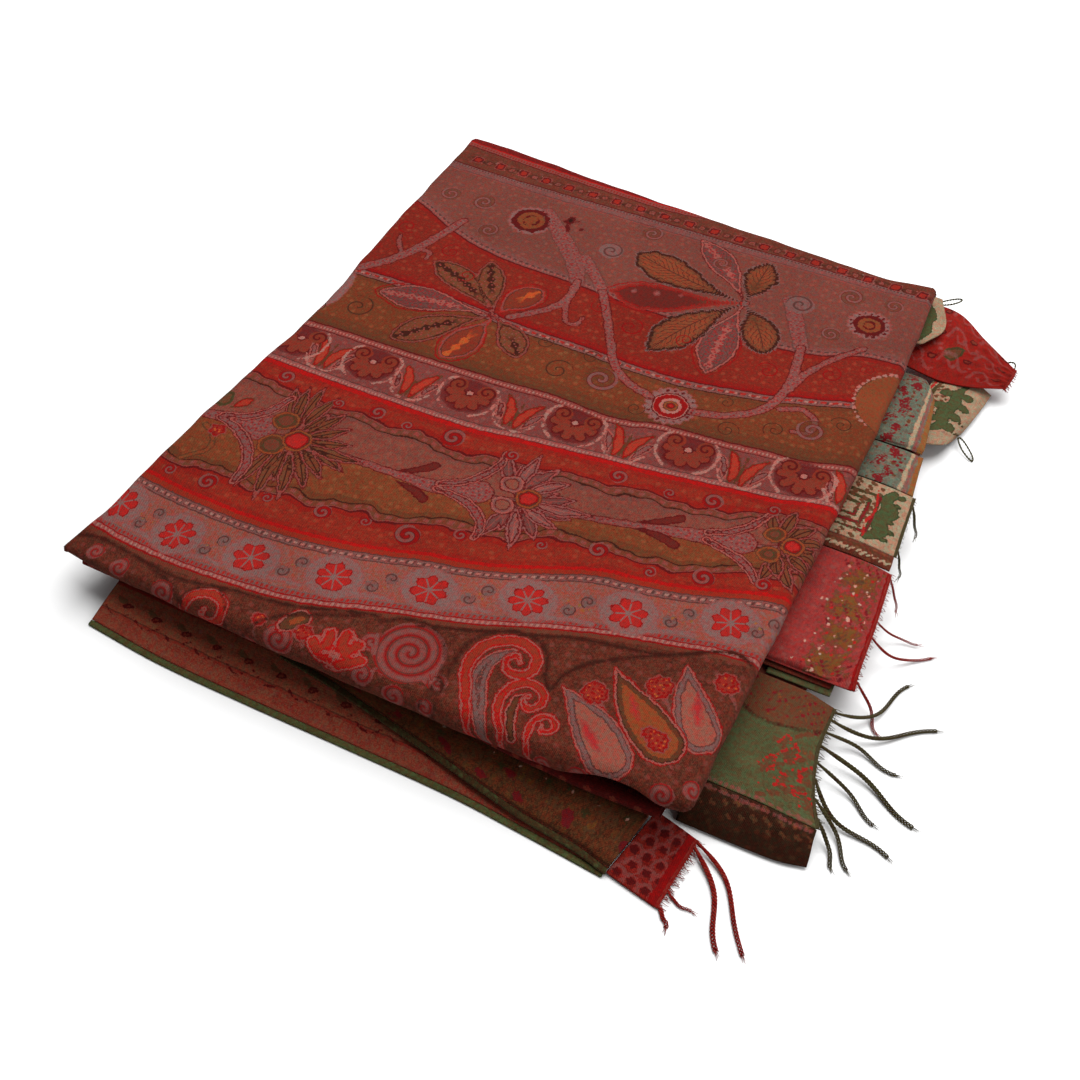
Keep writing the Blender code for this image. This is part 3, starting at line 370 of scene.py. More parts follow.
class Canvas:
    """Distance in millimetres from each point of a cloth to the edge of a layer's motifs, below zero inside.

    It also keeps each point's place in the nearest motif: along and across a strip, and in a flower or curl.
    """

    def __init__(self, x, y):
        self.x = np.asarray(x, float).ravel()
        self.y = np.asarray(y, float).ravel()
        count = len(self.x)
        self.layers = {}
        self.places = {kind: (np.full(count, FAR), np.zeros((count, 3))) for kind in ("strip", "round")}

    def near(self, low, high):
        """Points in and near a rectangle."""
        inside = (self.x > low[0] - FAR) & (self.x < high[0] + FAR)
        inside &= (self.y > low[1] - FAR) & (self.y < high[1] + FAR)
        return np.nonzero(inside)[0]

    def around(self, x, y, reach):
        """Points in and near a square round a place, and how far they lie from the place."""
        where = self.near((x - reach, y - reach), (x + reach, y + reach))
        return where, self.x[where] - x, self.y[where] - y

    def lay(self, layer, where, distance):
        """Adds a motif to a layer."""
        field = self.layers.setdefault(layer, np.full(len(self.x), FAR))
        field[where] = np.minimum(field[where], distance)

    def claim(self, kind, where, distance, place):
        """Keeps a motif's own coordinates where it is the nearest one."""
        nearest, places = self.places[kind]
        closer = distance < nearest[where]
        picked = where[closer]
        nearest[picked] = distance[closer]
        places[picked] = place[closer]

    def ribbon(self, layer, points, half_widths):
        """Band along a line of points, with a half width at each of them."""
        line = np.array(points, float)
        half = np.array(half_widths, float)
        reach = max(float(half.max()), 0.0)
        where = self.near(line.min(axis=0) - reach, line.max(axis=0) + reach)
        px, py = self.x[where], self.y[where]
        best = np.full(len(where), FAR)
        place = np.zeros((len(where), 3))
        start = 0.0
        for a, b, wa, wb in zip(line[:-1], line[1:], half[:-1], half[1:]):
            span = b - a
            length = max(float(np.hypot(*span)), 1e-6)
            along = ((px - a[0]) * span[0] + (py - a[1]) * span[1]) / length
            across = ((py - a[1]) * span[0] - (px - a[0]) * span[1]) / length
            t = np.clip(along / length, 0.0, 1.0)
            gap = np.hypot(along - t * length, across) - (wa + (wb - wa) * t)
            closer = gap < best
            best[closer] = gap[closer]
            place[closer, 0] = start + np.clip(along, 0.0, length)[closer]
            place[closer, 1] = across[closer]
            start += length
        self.lay(layer, where, best)
        self.claim("strip", where, best, place)

    def stroke(self, layer, points, half_width, end=None):
        """Smooth line through the points, of even width or narrowing to its end."""
        line = curve_through(points, CURVE_STEPS) if len(points) > 2 else np.array(points, float)
        self.ribbon(layer, line, np.linspace(half_width, half_width if end is None else end, len(line)))

    def swelling(self, layer, rows):
        """Smooth band through rows of x, y and half width."""
        line = curve_through(rows, CURVE_STEPS)
        self.ribbon(layer, line[:, :2], np.maximum(line[:, 2], 0.1))

    def leaf(self, layer, base, tip, half_width, bend=0.0, belly=0.45):
        """Pointed leaf. It is widest at the share belly of its length, and bends sideways by bend."""
        base, tip = np.array(base, float), np.array(tip, float)
        t = np.linspace(0.0, 1.0, 19)
        side = np.array([base[1] - tip[1], tip[0] - base[0]]) / max(np.linalg.norm(tip - base), 1e-6)
        line = base + np.outer(t, tip - base) + np.outer(np.sin(np.pi * t) * bend, side)
        stalk = np.sin(0.5 * np.pi * np.minimum(t / belly, 1.0)) ** 2.3
        point = 1.0 - np.clip((t - belly) / (1.0 - belly), 0.0, 1.0) ** 1.5
        self.ribbon(layer, line, half_width * stalk * point - 0.15)

    def drop(self, layer, tip, end, half_width, bend=0.0):
        """Teardrop: a sharp tip and a round end."""
        tip, end = np.array(tip, float), np.array(end, float)
        t = np.linspace(0.0, 1.0, 15)
        side = np.array([tip[1] - end[1], end[0] - tip[0]]) / max(np.linalg.norm(end - tip), 1e-6)
        line = tip + np.outer(t, end - tip) + np.outer(np.sin(np.pi * t) * bend, side)
        self.ribbon(layer, line, half_width * np.sin(0.5 * np.pi * np.minimum(t * 1.15, 1.0)) ** 1.1)

    def oval(self, layer, x, y, half_x, half_y=None):
        """Disc or oval."""
        half_y = half_x if half_y is None else half_y
        where, dx, dy = self.around(x, y, max(half_x, half_y))
        self.lay(layer, where, (np.hypot(dx / half_x, dy / half_y) - 1.0) * min(half_x, half_y))

    def square(self, layer, x, y, half):
        where, dx, dy = self.around(x, y, half)
        self.lay(layer, where, np.maximum(np.abs(dx), np.abs(dy)) - half)

    def ring(self, layer, x, y, radius, half_width):
        where, dx, dy = self.around(x, y, radius + half_width)
        self.lay(layer, where, np.abs(np.hypot(dx, dy) - radius) - half_width)

    def flower(self, layer, x, y, radius, petals, depth=0.3, turn=0.0):
        """Round head with a scalloped edge of so many petals."""
        where, dx, dy = self.around(x, y, radius)
        angle = np.arctan2(dy, dx) - math.radians(turn)
        away = np.hypot(dx, dy)
        edge = radius * (1.0 - depth + depth * np.abs(np.sin(0.5 * petals * angle)) ** 0.7)
        distance = (away - edge) * 0.85
        count = np.full(len(where), float(petals))
        place = np.column_stack([away * np.cos(angle), away * np.sin(angle), count])
        self.lay(layer, where, distance)
        self.claim("round", where, distance, place)

    def curl(self, layer, x, y, radius, turn, hand=1.0, turns=1.6):
        """Disc that holds a spiral. The spiral's outer end is at the angle turn."""
        where, dx, dy = self.around(x, y, radius)
        away = np.hypot(dx, dy)
        angle = hand * (np.arctan2(dy, dx) - math.radians(turn))
        scaled = away * turns / radius
        distance = away - radius
        count = np.full(len(where), turns)
        place = np.column_stack([scaled * np.cos(angle), scaled * np.sin(angle), count])
        self.lay(layer, where, distance)
        self.claim("round", where, np.where(distance < 1.0, distance - 4.0 * FAR, distance), place)

    def store(self, mesh, copies=1):
        """Keeps everything as attributes of a mesh whose points are the cloth's, once or on both faces."""
        for layer, field in self.layers.items():
            attribute = mesh.attributes.new("motif_" + layer, "FLOAT", "POINT")
            share = layer_share(np.tile(field, copies))
            attribute.data.foreach_set("value", share.astype(np.float32))
        for kind, (_, places) in self.places.items():
            store_vector(mesh, "place_" + kind, np.tile(places, (copies, 1)))


def store_vector(mesh, name, rows):
    """Keeps three numbers for each point of a mesh."""
    attribute = mesh.attributes.new(name, "FLOAT_VECTOR", "POINT")
    attribute.data.foreach_set("vector", np.asarray(rows, np.float32).ravel())


def store_cloth_place(mesh, x, y, copies=1):
    """Where each point lies on the cloth, in millimetres."""
    x, y = np.tile(np.ravel(x), copies), np.tile(np.ravel(y), copies)
    store_vector(mesh, "cloth", np.column_stack([x, y, np.zeros(len(x))]))


# ---------------------------------------------------------------- colour and material
PALETTE = {
    "deep_red": (124, 26, 24), "crimson": (140, 16, 16), "wine": (92, 20, 20),
    "floret_red": (172, 38, 34), "red": (148, 40, 30), "orange_red": (145, 45, 29),
    "orange_red_dim": (128, 32, 24), "orange_red_pale": (162, 76, 52), "orange_brown": (140, 70, 38),
    "salmon": (135, 75, 61), "salmon_dim": (112, 56, 50), "salmon_pale": (150, 84, 70),
    "pink": (156, 84, 76), "pink_dim": (138, 68, 62), "pale": (168, 112, 102),
    "rose_mauve": (146, 80, 76), "mauve": (128, 78, 74), "mauve_dim": (110, 64, 60),
    "mauve_grey": (122, 84, 80), "mauve_dark": (92, 54, 50), "ochre": (130, 67, 39),
    "ochre_dim": (110, 56, 32), "ochre_pale": (154, 92, 58), "tan": (142, 92, 58), "brown": (112, 58, 42),
    "brown_dim": (88, 42, 32), "leaf_brown": (116, 64, 42), "leaf_red": (134, 40, 32),
    "leaf_red_dark": (104, 36, 30), "dark_brown": (64, 28, 20), "black_brown": (44, 20, 14),
    "olive_brown": (94, 54, 34), "sage": (92, 92, 60), "sage_dim": (76, 76, 48), "olive": (72, 62, 36),
    "leaf_green": (78, 84, 52), "cream": (178, 152, 124), "cream_dim": (146, 122, 98),
    "rose": (160, 62, 58), "rose_dim": (136, 44, 44), "gold": (146, 94, 52), "selvedge": (94, 100, 60),
    "shadow_red": (84, 18, 16), "shadow_brown": (60, 28, 18), "crimson_bright": (168, 20, 18),
    "orange_bright": (182, 84, 40), "leaf_lobe": (128, 52, 38), "halo_grey": (136, 94, 90),
    "red_glow": (158, 40, 34), "fleck_red": (120, 30, 34), "fleck_brown": (104, 66, 44),
    "white_dot": (196, 150, 132), "leaf_ground": (108, 53, 37), "leaf_warm": (136, 68, 42),
    "leaf_red_brown": (126, 50, 34), "petal_orange": (162, 54, 38), "scroll_red": (150, 50, 34),
    "core_red": (166, 42, 46), "salmon_deep": (123, 65, 53), "orange_red_deep": (126, 38, 26),
    "ochre_deep": (118, 58, 33), "floret_ground": (150, 76, 60), "rosette_ground": (126, 60, 56),
    # the lower leaf's two grounds next are lightened past the cloth's own colour: painted light that makes up
    # for the shade under the packet's front
    "lower_ground": (156, 82, 60), "lower_red": (152, 84, 62), "upper_ground": (120, 66, 40),
    "upper_dark": (58, 38, 24), "blue_grey": (112, 120, 104), "blue_grey_dim": (86, 92, 80),
    "green_dim": (58, 68, 42), "gold_brown": (124, 76, 38), "capsule": (98, 30, 30),
    "leaf_red_bright": (146, 46, 36),
}
SHEEN_ROUGHNESS = 0.5
SHEEN_TINT = (1.0, 0.64, 0.54, 1.0)
WOOL_SPECULAR = 0.03
BUMP_STRENGTH = 0.55
CLOTH_SHEEN = 0.03
CLOTH_ROUGHNESS = 0.76        # least roughness, before the grain adds to it
CLOTH_RELIEF = 0.0004         # metres
YARN_SHEEN = 0.1
YARN_ROUGHNESS = 0.79
YARN_RELIEF = 0.0002
YARN_PATCHES = (0.35, 2.0, 0.6, "3D")      # scale, detail, roughness of a noise
YARN_FIBRE = (3.0, 1.0, 0.5, "3D")
DOT_RANDOMNESS = 0.85
DOT_SOFT = 0.12


def light_of(name):
    """Albedo of a palette colour: what the colour needs under the studio light."""
    out = []
    for value, level in zip(PALETTE[name], LIGHT_LEVEL):
        share = value / 255.0
        linear = share / 12.92 if share <= 0.04045 else ((share + 0.055) / 1.055) ** 2.4
        out.append(linear / level)
    return tuple(out)


RAMP_GROUPS = {}


def ramp_group(stops):
    """Node group of one colour ramp, shared by all materials that use the same stops."""
    if stops not in RAMP_GROUPS:
        tree = bpy.data.node_groups.new("ramp", "ShaderNodeTree")
        tree.interface.new_socket("Factor", in_out="INPUT", socket_type="NodeSocketFloat")
        tree.interface.new_socket("Color", in_out="OUTPUT", socket_type="NodeSocketColor")
        tree.interface.new_socket("Alpha", in_out="OUTPUT", socket_type="NodeSocketFloat")
        kinds = ("NodeGroupInput", "ShaderNodeValToRGB", "NodeGroupOutput")
        source, node, sink = [tree.nodes.new(kind) for kind in kinds]
        ramp = node.color_ramp
        ramp.elements.remove(ramp.elements[1])
        for k, stop in enumerate(stops):
            element = ramp.elements[0] if k == 0 else ramp.elements.new(stop[0])
            element.position = stop[0]
            element.color = (*light_of(stop[1]), stop[2] if len(stop) > 2 else 1.0)
        tree.links.new(source.outputs[0], node.inputs[0])
        tree.links.new(node.outputs["Color"], sink.inputs[0])
        tree.links.new(node.outputs["Alpha"], sink.inputs[1])
        RAMP_GROUPS[stops] = tree
    return RAMP_GROUPS[stops]


class Nodes:
    """Short ways to wire one material."""

    def __init__(self, name):
        self.material = bpy.data.materials.new(name)
        self.material.use_nodes = True
        self.tree = self.material.node_tree
        self.shader = self.tree.nodes["Principled BSDF"]

    def add(self, kind, **settings):
        node = self.tree.nodes.new(kind)
        for key, value in settings.items():
            setattr(node, key, value)
        return node

    def put(self, socket, value):
        """Links a socket to another one, or sets its value."""
        if isinstance(value, bpy.types.NodeSocket):
            self.tree.links.new(value, socket)
        else:
            socket.default_value = value

    def math(self, operation, a, b=0.0):
        node = self.add("ShaderNodeMath", operation=operation)
        self.put(node.inputs[0], a)
        self.put(node.inputs[1], b)
        return node.outputs[0]

    def fused(self, a, b, c):
        """a times b plus c."""
        node = self.add("ShaderNodeMath", operation="MULTIPLY_ADD")
        for socket, value in zip(node.inputs, (a, b, c)):
            self.put(socket, value)
        return node.outputs[0]

    def scale(self, value, low, high):
        """Place of a value between low and high, not held within 0 and 1."""
        node = self.add("ShaderNodeMapRange", clamp=False)
        self.put(node.inputs["Value"], value)
        node.inputs["From Min"].default_value = low
        node.inputs["From Max"].default_value = high
        return node.outputs["Result"]

    def attribute(self, name, kind="Fac"):
        return self.add("ShaderNodeAttribute", attribute_name=name).outputs[kind]

    def split(self, vector):
        node = self.add("ShaderNodeSeparateXYZ")
        self.put(node.inputs[0], vector)
        return node.outputs[0], node.outputs[1], node.outputs[2]

    def join(self, x, y, z=0.0):
        node = self.add("ShaderNodeCombineXYZ")
        for socket, value in zip(node.inputs, (x, y, z)):
            self.put(socket, value)
        return node.outputs[0]

    def add_vector(self, vector, offset):
        node = self.add("ShaderNodeVectorMath", operation="ADD")
        self.put(node.inputs[0], vector)
        self.put(node.inputs[1], offset)
        return node.outputs[0]

    def noise(self, vector, scale, detail=2.0, rough=0.5, space="2D"):
        node = self.add("ShaderNodeTexNoise", noise_dimensions=space)
        self.put(node.inputs["Vector"], vector)
        node.inputs["Scale"].default_value = scale
        node.inputs["Detail"].default_value = detail
        node.inputs["Roughness"].default_value = rough
        return node.outputs["Fac"]

    def dots(self, vector, pitch, radius):
        """1 in round dots scattered at about the pitch, and 0 between them."""
        node = self.add("ShaderNodeTexVoronoi", voronoi_dimensions="2D")
        self.put(node.inputs["Vector"], vector)
        node.inputs["Scale"].default_value = 1.0 / pitch
        node.inputs["Randomness"].default_value = DOT_RANDOMNESS
        return self.step(node.outputs["Distance"], radius / pitch, -DOT_SOFT)

    def step(self, value, edge, soft):
        """0 below edge and 1 above it, with a soft stretch between. A soft below zero turns it round."""
        node = self.add("ShaderNodeMapRange", interpolation_type="SMOOTHSTEP", clamp=False)
        self.put(node.inputs["Value"], value)
        node.inputs["From Min"].default_value = edge - 0.5 * soft
        node.inputs["From Max"].default_value = edge + 0.5 * soft
        return node.outputs["Result"]

    def ramp(self, factor, stops):
        """Colour ramp. A stop is a place from 0 to 1, a palette name, and an alpha if it isn't 1."""
        node = self.add("ShaderNodeGroup", node_tree=ramp_group(tuple(stops)))
        self.put(node.inputs[0], factor)
        return node.outputs[0], node.outputs[1]

    def mix(self, factor, a, b, blend="MIX"):
        node = self.add("ShaderNodeMix", data_type="RGBA", blend_type=blend)
        self.put(node.inputs[0], factor)
        self.put(node.inputs[6], a)
        self.put(node.inputs[7], b)
        return node.outputs[2]

    def colour(self, name):
        return (*light_of(name), 1.0)

    def curve(self, value, points):
        """Smooth curve of a value, both from 0 to 1."""
        node = self.add("ShaderNodeFloatCurve")
        line = node.mapping.curves[0]
        for k, (x, y) in enumerate(points):
            if k < 2:
                line.points[k].location = (x, y)
            else:
                line.points.new(x, y)
        node.mapping.update()
        self.put(node.inputs["Value"], value)
        return node.outputs[0]

    def finish(self, colour, light, rough, height, relief, sheen):
        """Wires a cloth's or yarn's colour, light and dark, roughness and bump to the shader."""
        lit = self.mix(1.0, colour, self.join(light, light, light), "MULTIPLY")
        self.put(self.shader.inputs["Base Color"], lit)
        self.put(self.shader.inputs["Roughness"], rough)
        self.shader.inputs["Sheen Weight"].default_value = sheen
        self.shader.inputs["Sheen Roughness"].default_value = SHEEN_ROUGHNESS
        self.shader.inputs["Sheen Tint"].default_value = SHEEN_TINT
        self.shader.inputs["Specular IOR Level"].default_value = WOOL_SPECULAR
        bump = self.add("ShaderNodeBump")
        bump.inputs["Strength"].default_value = BUMP_STRENGTH
        bump.inputs["Distance"].default_value = relief
        self.put(bump.inputs["Height"], height)
        self.put(self.shader.inputs["Normal"], bump.outputs[0])
        return self.material


PROFILE_REACH = 13.0          # how far to both sides of a band's edge its lines may lie
EDGE_SOFT = 0.4


def band_stops(low, bands, low_end, high_end):
    """Ramp stops of bands that follow each other from low on, in millimetres, and clear outside them.

    Each band has a colour, its far edge and an alpha if it isn't 1.
    """
    reach = high_end - low_end
    soft = 0.5 * EDGE_SOFT / reach
    edge = (low - low_end) / reach
    stops = []
    for colour, high, *alpha in bands:
        strength = alpha[0] if alpha else 1.0
        if not stops:
            stops.append((max(edge - soft, 0.0), colour, strength if edge <= 0.0 else 0.0))
        stops.append((min(max(edge + soft, 0.0), 1.0), colour, strength))
        edge = (high - low_end) / reach
        stops.append((min(edge - soft, 1.0), colour, strength))
    stops.append((min(edge + soft, 1.0), stops[-1][1], 0.0))
    return stops


OUTER_HALF = (27.0, 9.0)      # where the outer half of a leaf starts, and the length of the change
ROOT_HALF = (26.0, -22.0)
VEIN_SLANT = 1.2              # run along the leaf for each millimetre from its midrib
VEIN_PITCH = 4.4
BARB_PITCH = 7.5
BARB_DEPTH = 2.8
FLAME_HALF_WIDTH = 3.6
TOOTH_PITCH = 3.2
TOOTH_DEPTH = 2.4
FLECK_DOTS = (3.1, 0.85)      # pitch, radius
PIP_DOTS = (3.7, 0.7)
PIP_OFFSET = (1.7, 0.9, 0.0)
SPIRAL_START = 10.2           # keeps a curl's turns above zero


class Marks:
    """Fine marks inside motifs, from 0 to 1, each wired only when a layer asks for it."""

    def __init__(self, n, place):
        self.n = n
        self.place = place
        self.made = {}

    def get(self, name):
        if name not in self.made:
            self.made[name] = getattr(self, name)()
        return self.made[name]

    def strip(self):
        """Place along and across a leaf, stem or line."""
        return self.n.split(self.n.attribute("place_strip", "Vector"))

    def polar(self):
        """Distance and angle in a flower or curl, and its number of petals or turns."""
        n = self.n
        x, y, petals = n.split(n.attribute("place_round", "Vector"))
        away = n.math("SQRT", n.math("ADD", n.math("MULTIPLY", x, x), n.math("MULTIPLY", y, y)))
        return away, n.math("ARCTAN2", y, x), petals

    def veins(self):
        """Side veins that leave the midrib at a slant."""
        n = self.n
        along, across, _ = self.get("strip")
        slant = n.math("SUBTRACT", along, n.math("MULTIPLY", n.math("ABSOLUTE", across), VEIN_SLANT))
        turn = n.math("FRACT", n.math("MULTIPLY", slant, 1.0 / VEIN_PITCH))
        place = n.math("ABSOLUTE", n.math("SUBTRACT", turn, 0.5))
        return n.math("MAXIMUM", n.step(place, 0.10, -0.10), self.get("midrib"))

    def flame(self):
        """Core of a leaf's outer half, barbed along both its sides."""
        n = self.n
        along, across, _ = self.get("strip")
        away = n.math("ABSOLUTE", across)
        saw = n.math("FRACT", n.math("MULTIPLY", n.math("SUBTRACT", along, away), 1.0 / BARB_PITCH))
        core = n.step(n.math("ADD", away, n.math("MULTIPLY", saw, BARB_DEPTH)), FLAME_HALF_WIDTH, -0.8)
        return n.math("MULTIPLY", core, self.get("outer"))

    def outer(self):
        return self.n.step(self.get("strip")[0], *OUTER_HALF)

    def midrib(self):
        return self.n.step(self.n.math("ABSOLUTE", self.get("strip")[1]), 0.45, -0.4)

    def teeth(self):
        """Saw teeth along a leaf's edge, as a share of LAYER_REACH."""
        saw = self.n.math("FRACT", self.n.math("MULTIPLY", self.get("strip")[0], 1.0 / TOOTH_PITCH))
        return self.n.fused(saw, -TOOTH_DEPTH / LAYER_REACH, 0.5 * TOOTH_DEPTH / LAYER_REACH)

    def rays(self):
        """Lines between a flower's petals."""
        n = self.n
        away, angle, petals = self.get("polar")
        half = n.math("MULTIPLY", n.math("MULTIPLY", angle, petals), 0.5)
        wave = n.math("ABSOLUTE", n.math("SINE", half))
        return n.step(n.math("DIVIDE", n.math("MULTIPLY", wave, away), petals), 0.26, -0.2)

    def flecks(self):
        """Small dark dots of the braided stems."""
        return self.n.dots(self.place, *FLECK_DOTS)

    def pips(self):
        """Small light dots of the braided stems."""
        return self.n.dots(self.n.add_vector(self.place, PIP_OFFSET), *PIP_DOTS)

    def root(self):
        """The narrow half of a leaf next to its stalk."""
        return self.n.step(self.get("strip")[0], *ROOT_HALF)

    def spiral(self):
        """Place across the turns of a curl, from 0 to 1."""
        n = self.n
        away, angle, turns = self.get("polar")
        turn = n.math("SUBTRACT", n.math("SUBTRACT", away, turns), n.math("MULTIPLY", angle, 0.5 / math.pi))
        return n.math("FRACT", n.math("ADD", turn, SPIRAL_START))


LAYERS = {
    # in the order they are laid: bands from the inside out, each a colour, its outer edge and an alpha if it
    # isn't 1. For a curl: stops across a turn of its spiral, each a place, a colour and such an alpha
    "patch": [("fleck_brown", -2), ("olive", 0)],
    "brown_fleck": [("fleck_brown", 0)],
    "gold_fleck": [("gold_brown", -1), ("fleck_brown", 0, 0.7)],
    "halo": [("halo_grey", -0.8), ("rose_mauve", 0.2, 0.8)],
    "ochre": [("ochre", -1), ("olive_brown", 0)],
    "glow": [("crimson", 0.2, 0.9)],
    "faint_stem": [("mauve", -0.6, 0.85), ("mauve_dark", 0.3, 0.6)],
    "stem": [("mauve", -0.8), ("pink_dim", 0), ("wine", 0.7)],
    "spike": [("leaf_brown", -1.5), ("dark_brown", -0.8), ("pink_dim", 0.2), ("wine", 0.8)],
    "spike_over": [("leaf_brown", -1.5), ("dark_brown", -0.8), ("pink_dim", 0.2), ("wine", 0.8)],
    "plume": [("mauve_dim", -1.7), ("wine", -0.9), ("rose_mauve", 0.2), ("wine", 0.8)],
    "plume_over": [("mauve", -1.7), ("wine", -0.9), ("rose_mauve", 0.2), ("wine", 0.8)],
    "calyx": [("mauve", -1.6), ("wine", -0.8), ("pink", 0.2), ("wine", 0.8)],
    "mauve_leaf": [("mauve_dim", -2), ("mauve_dark", -1.2), ("pink", 0.1), ("wine", 0.8)],
    "brown_leaf": [
        ("leaf_brown", -1.8), ("dark_brown", -1), ("brown", -0.2), ("pink_dim", 0.6), ("wine", 1.2),
    ],
    "toothed_leaf": [("leaf_warm", -4.4), ("leaf_brown", -2.4), ("dark_brown", 0), ("mauve_grey", 1)],
    "orange_leaf": [("leaf_red_brown", -2), ("brown_dim", -1.2), ("pink_dim", 0), ("red_glow", 0.6)],
    "red_leaf": [("leaf_red_dark", -2.8), ("crimson", -1.9), ("leaf_red", 0.3), ("red_glow", 1)],
    "spot": [("rose_mauve", -0.8), ("rose_mauve", 0.4, 0.5)],
    "slim_leaf": [("leaf_red_dark", -1.1), ("wine", 0)],
    "capsule": [("capsule", -0.8, 0.85), ("wine", 0.4, 0.6)],
    "rosette": [("leaf_lobe", -1.1), ("wine", 0)],
    "petal_mauve": [("mauve", -1.3), ("wine", -0.6), ("pink", 0.4)],
    "petal": [("petal_orange", -0.8), ("crimson", 0.1), ("olive_brown", 0.8)],
    "heart": [("pale", -0.7), ("wine", 0.3)],
    "curl_swirl": [
        (0, "crimson"), (0.12, "rose_dim"), (0.24, "pink_dim"), (0.44, "mauve"), (0.7, "pink_dim"),
        (0.8, "mauve_dark"), (0.9, "leaf_red"), (1, "crimson"),
    ],
    "drop_mauve": [
        ("salmon_pale", -4.3), ("mauve_dark", -3.5), ("mauve_grey", -1.2), ("mauve_dark", -0.6),
        ("pink", 0.4), ("crimson", 1.1),
    ],
    "drop_brown": [
        ("orange_brown", -4), ("olive_brown", -1.6), ("dark_brown", -1), ("pink", 0.1), ("crimson", 0.9),
    ],
    "drop_core": [("core_red", -1.6, 0.9), ("core_red", 0, 0.5)],
    "floret": [("floret_red", -0.4), ("crimson", 0.3)],
    "blossom": [("leaf_red_bright", -1.2), ("crimson", -0.2), ("pink_dim", 0.6)],
    "scroll": [("scroll_red", -1.9), ("crimson_bright", -1), ("pink", 0), ("crimson", 0.7)],
    "green": [("leaf_green", -0.9), ("green_dim", 0)],
    "fleck": [("fleck_red", 0)],
    "red_fleck": [("floret_red", 0)],
    "square": [("red", -1.2), ("wine", 0), ("pink_dim", 0.7)],
    "dark_square": [("brown", -2), ("pink_dim", -1.2), ("brown_dim", 0)],
    "eye": [
        ("brown", -3.4), ("olive", -2.7), ("olive_brown", -1), ("orange_brown", 0.3), ("brown_dim", 0.9),
    ],
    "pale_eye": [("salmon", -3), ("wine", -2.2), ("mauve", -1), ("pink", 0.2), ("wine", 0.9)],
    "red_eye": [
        ("floret_red", -3), ("crimson", -2), ("brown_dim", -1.1), ("orange_brown", 0.3),
        ("brown_dim", 0.9),
    ],
    "curl_crimson": [
        (0, "crimson"), (0.15, "crimson"), (0.2, "crimson", 0), (0.95, "crimson", 0), (1, "crimson"),
    ],
    "curl_pink": [
        (0, "wine"), (0.1, "pink_dim"), (0.42, "mauve"), (0.52, "wine"), (0.6, "crimson"),
        (0.94, "crimson"), (1, "wine"),
    ],
    "curl_olive": [
        (0, "dark_brown"), (0.13, "olive_brown"), (0.2, "olive_brown", 0), (0.94, "olive_brown", 0),
        (1, "dark_brown"),
    ],
    "curl_mauve": [
        (0, "wine"), (0.07, "mauve"), (0.34, "mauve"), (0.42, "wine"), (0.5, "olive_brown", 0.5),
        (0.92, "olive_brown", 0.5), (1, "wine"),
    ],
    "curl_grey": [
        (0, "mauve_dark"), (0.2, "mauve_dark"), (0.28, "mauve_grey"), (0.92, "mauve_grey"),
        (1, "mauve_dark"),
    ],
    "curl_wine": [
        (0, "wine"), (0.12, "wine"), (0.26, "leaf_red_brown"), (0.8, "leaf_red_brown"), (0.92, "wine"),
        (1, "wine"),
    ],
    "olive": [("olive_brown", 0)],
    "cream": [("cream", 0)],
    "gold": [("gold", 0)],
    "white": [("white_dot", 0)],
    "ring": [("wine", 0)],
    "pale": [("pale", 0)],
    "crimson": [("crimson", 0)],
    "dark": [("dark_brown", -0.6), ("dark_brown", 0.5, 0.5)],
    "stain": [("black_brown", -1), ("wine", 0.4)],
}
LAYER_MARKS = {
    # fine marks inside a layer's inmost band, and their colours
    "faint_stem": [("flecks", "rose_dim"), ("pips", "pink")],
    "stem": [("flecks", "rose_dim"), ("pips", "pink")],
    "spike": [("midrib", "dark_brown")],
    "spike_over": [("midrib", "dark_brown")],
    "plume": [("midrib", "pink_dim")],
    "plume_over": [("midrib", "pink")],
    "calyx": [("flecks", "rose_dim")],
    "mauve_leaf": [("veins", "mauve_dark"), ("flame", "pink"), ("flecks", "rose_dim")],
    "brown_leaf": [("flame", "dark_brown"), ("pips", "pink_dim")],
    "toothed_leaf": [("veins", "brown_dim"), ("root", "olive_brown")],
    "orange_leaf": [("flame", "orange_bright")],
    "red_leaf": [("root", "leaf_brown")],
    "floret": [("rays", "halo_grey")],
    "blossom": [("pips", "orange_bright"), ("flecks", "crimson")],
}
LAYER_STARTS = {"glow": -1.1}  # inmost edge of a layer's bands, where it isn't LAYER_LOW
TOOTHED = ("toothed_leaf", "red_leaf")


def paint_layer(n, colour, layer, share, marks):
    """Lays one layer of motifs over the colour so far."""
    bands = LAYERS[layer]
    if layer.startswith("curl"):
        paint, clear = n.ramp(marks.get("spiral"), bands)
        inside = n.step(share, layer_share(0.0), -EDGE_SOFT / LAYER_REACH)
        return n.mix(n.math("MULTIPLY", clear, inside), colour, paint)
    if layer in TOOTHED:
        share = n.math("ADD", share, marks.get("teeth"))
    stops = band_stops(LAYER_STARTS.get(layer, LAYER_LOW), bands, LAYER_LOW, LAYER_HIGH)
    paint, clear = n.ramp(share, stops)
    if layer in LAYER_MARKS:
        inside = n.step(share, layer_share(min(bands[0][1], -0.5)), -EDGE_SOFT / LAYER_REACH)
        for mark, tint in LAYER_MARKS[layer]:
            paint = n.mix(n.math("MULTIPLY", inside, marks.get(mark)), paint, n.colour(tint))
    return n.mix(clear, colour, paint)


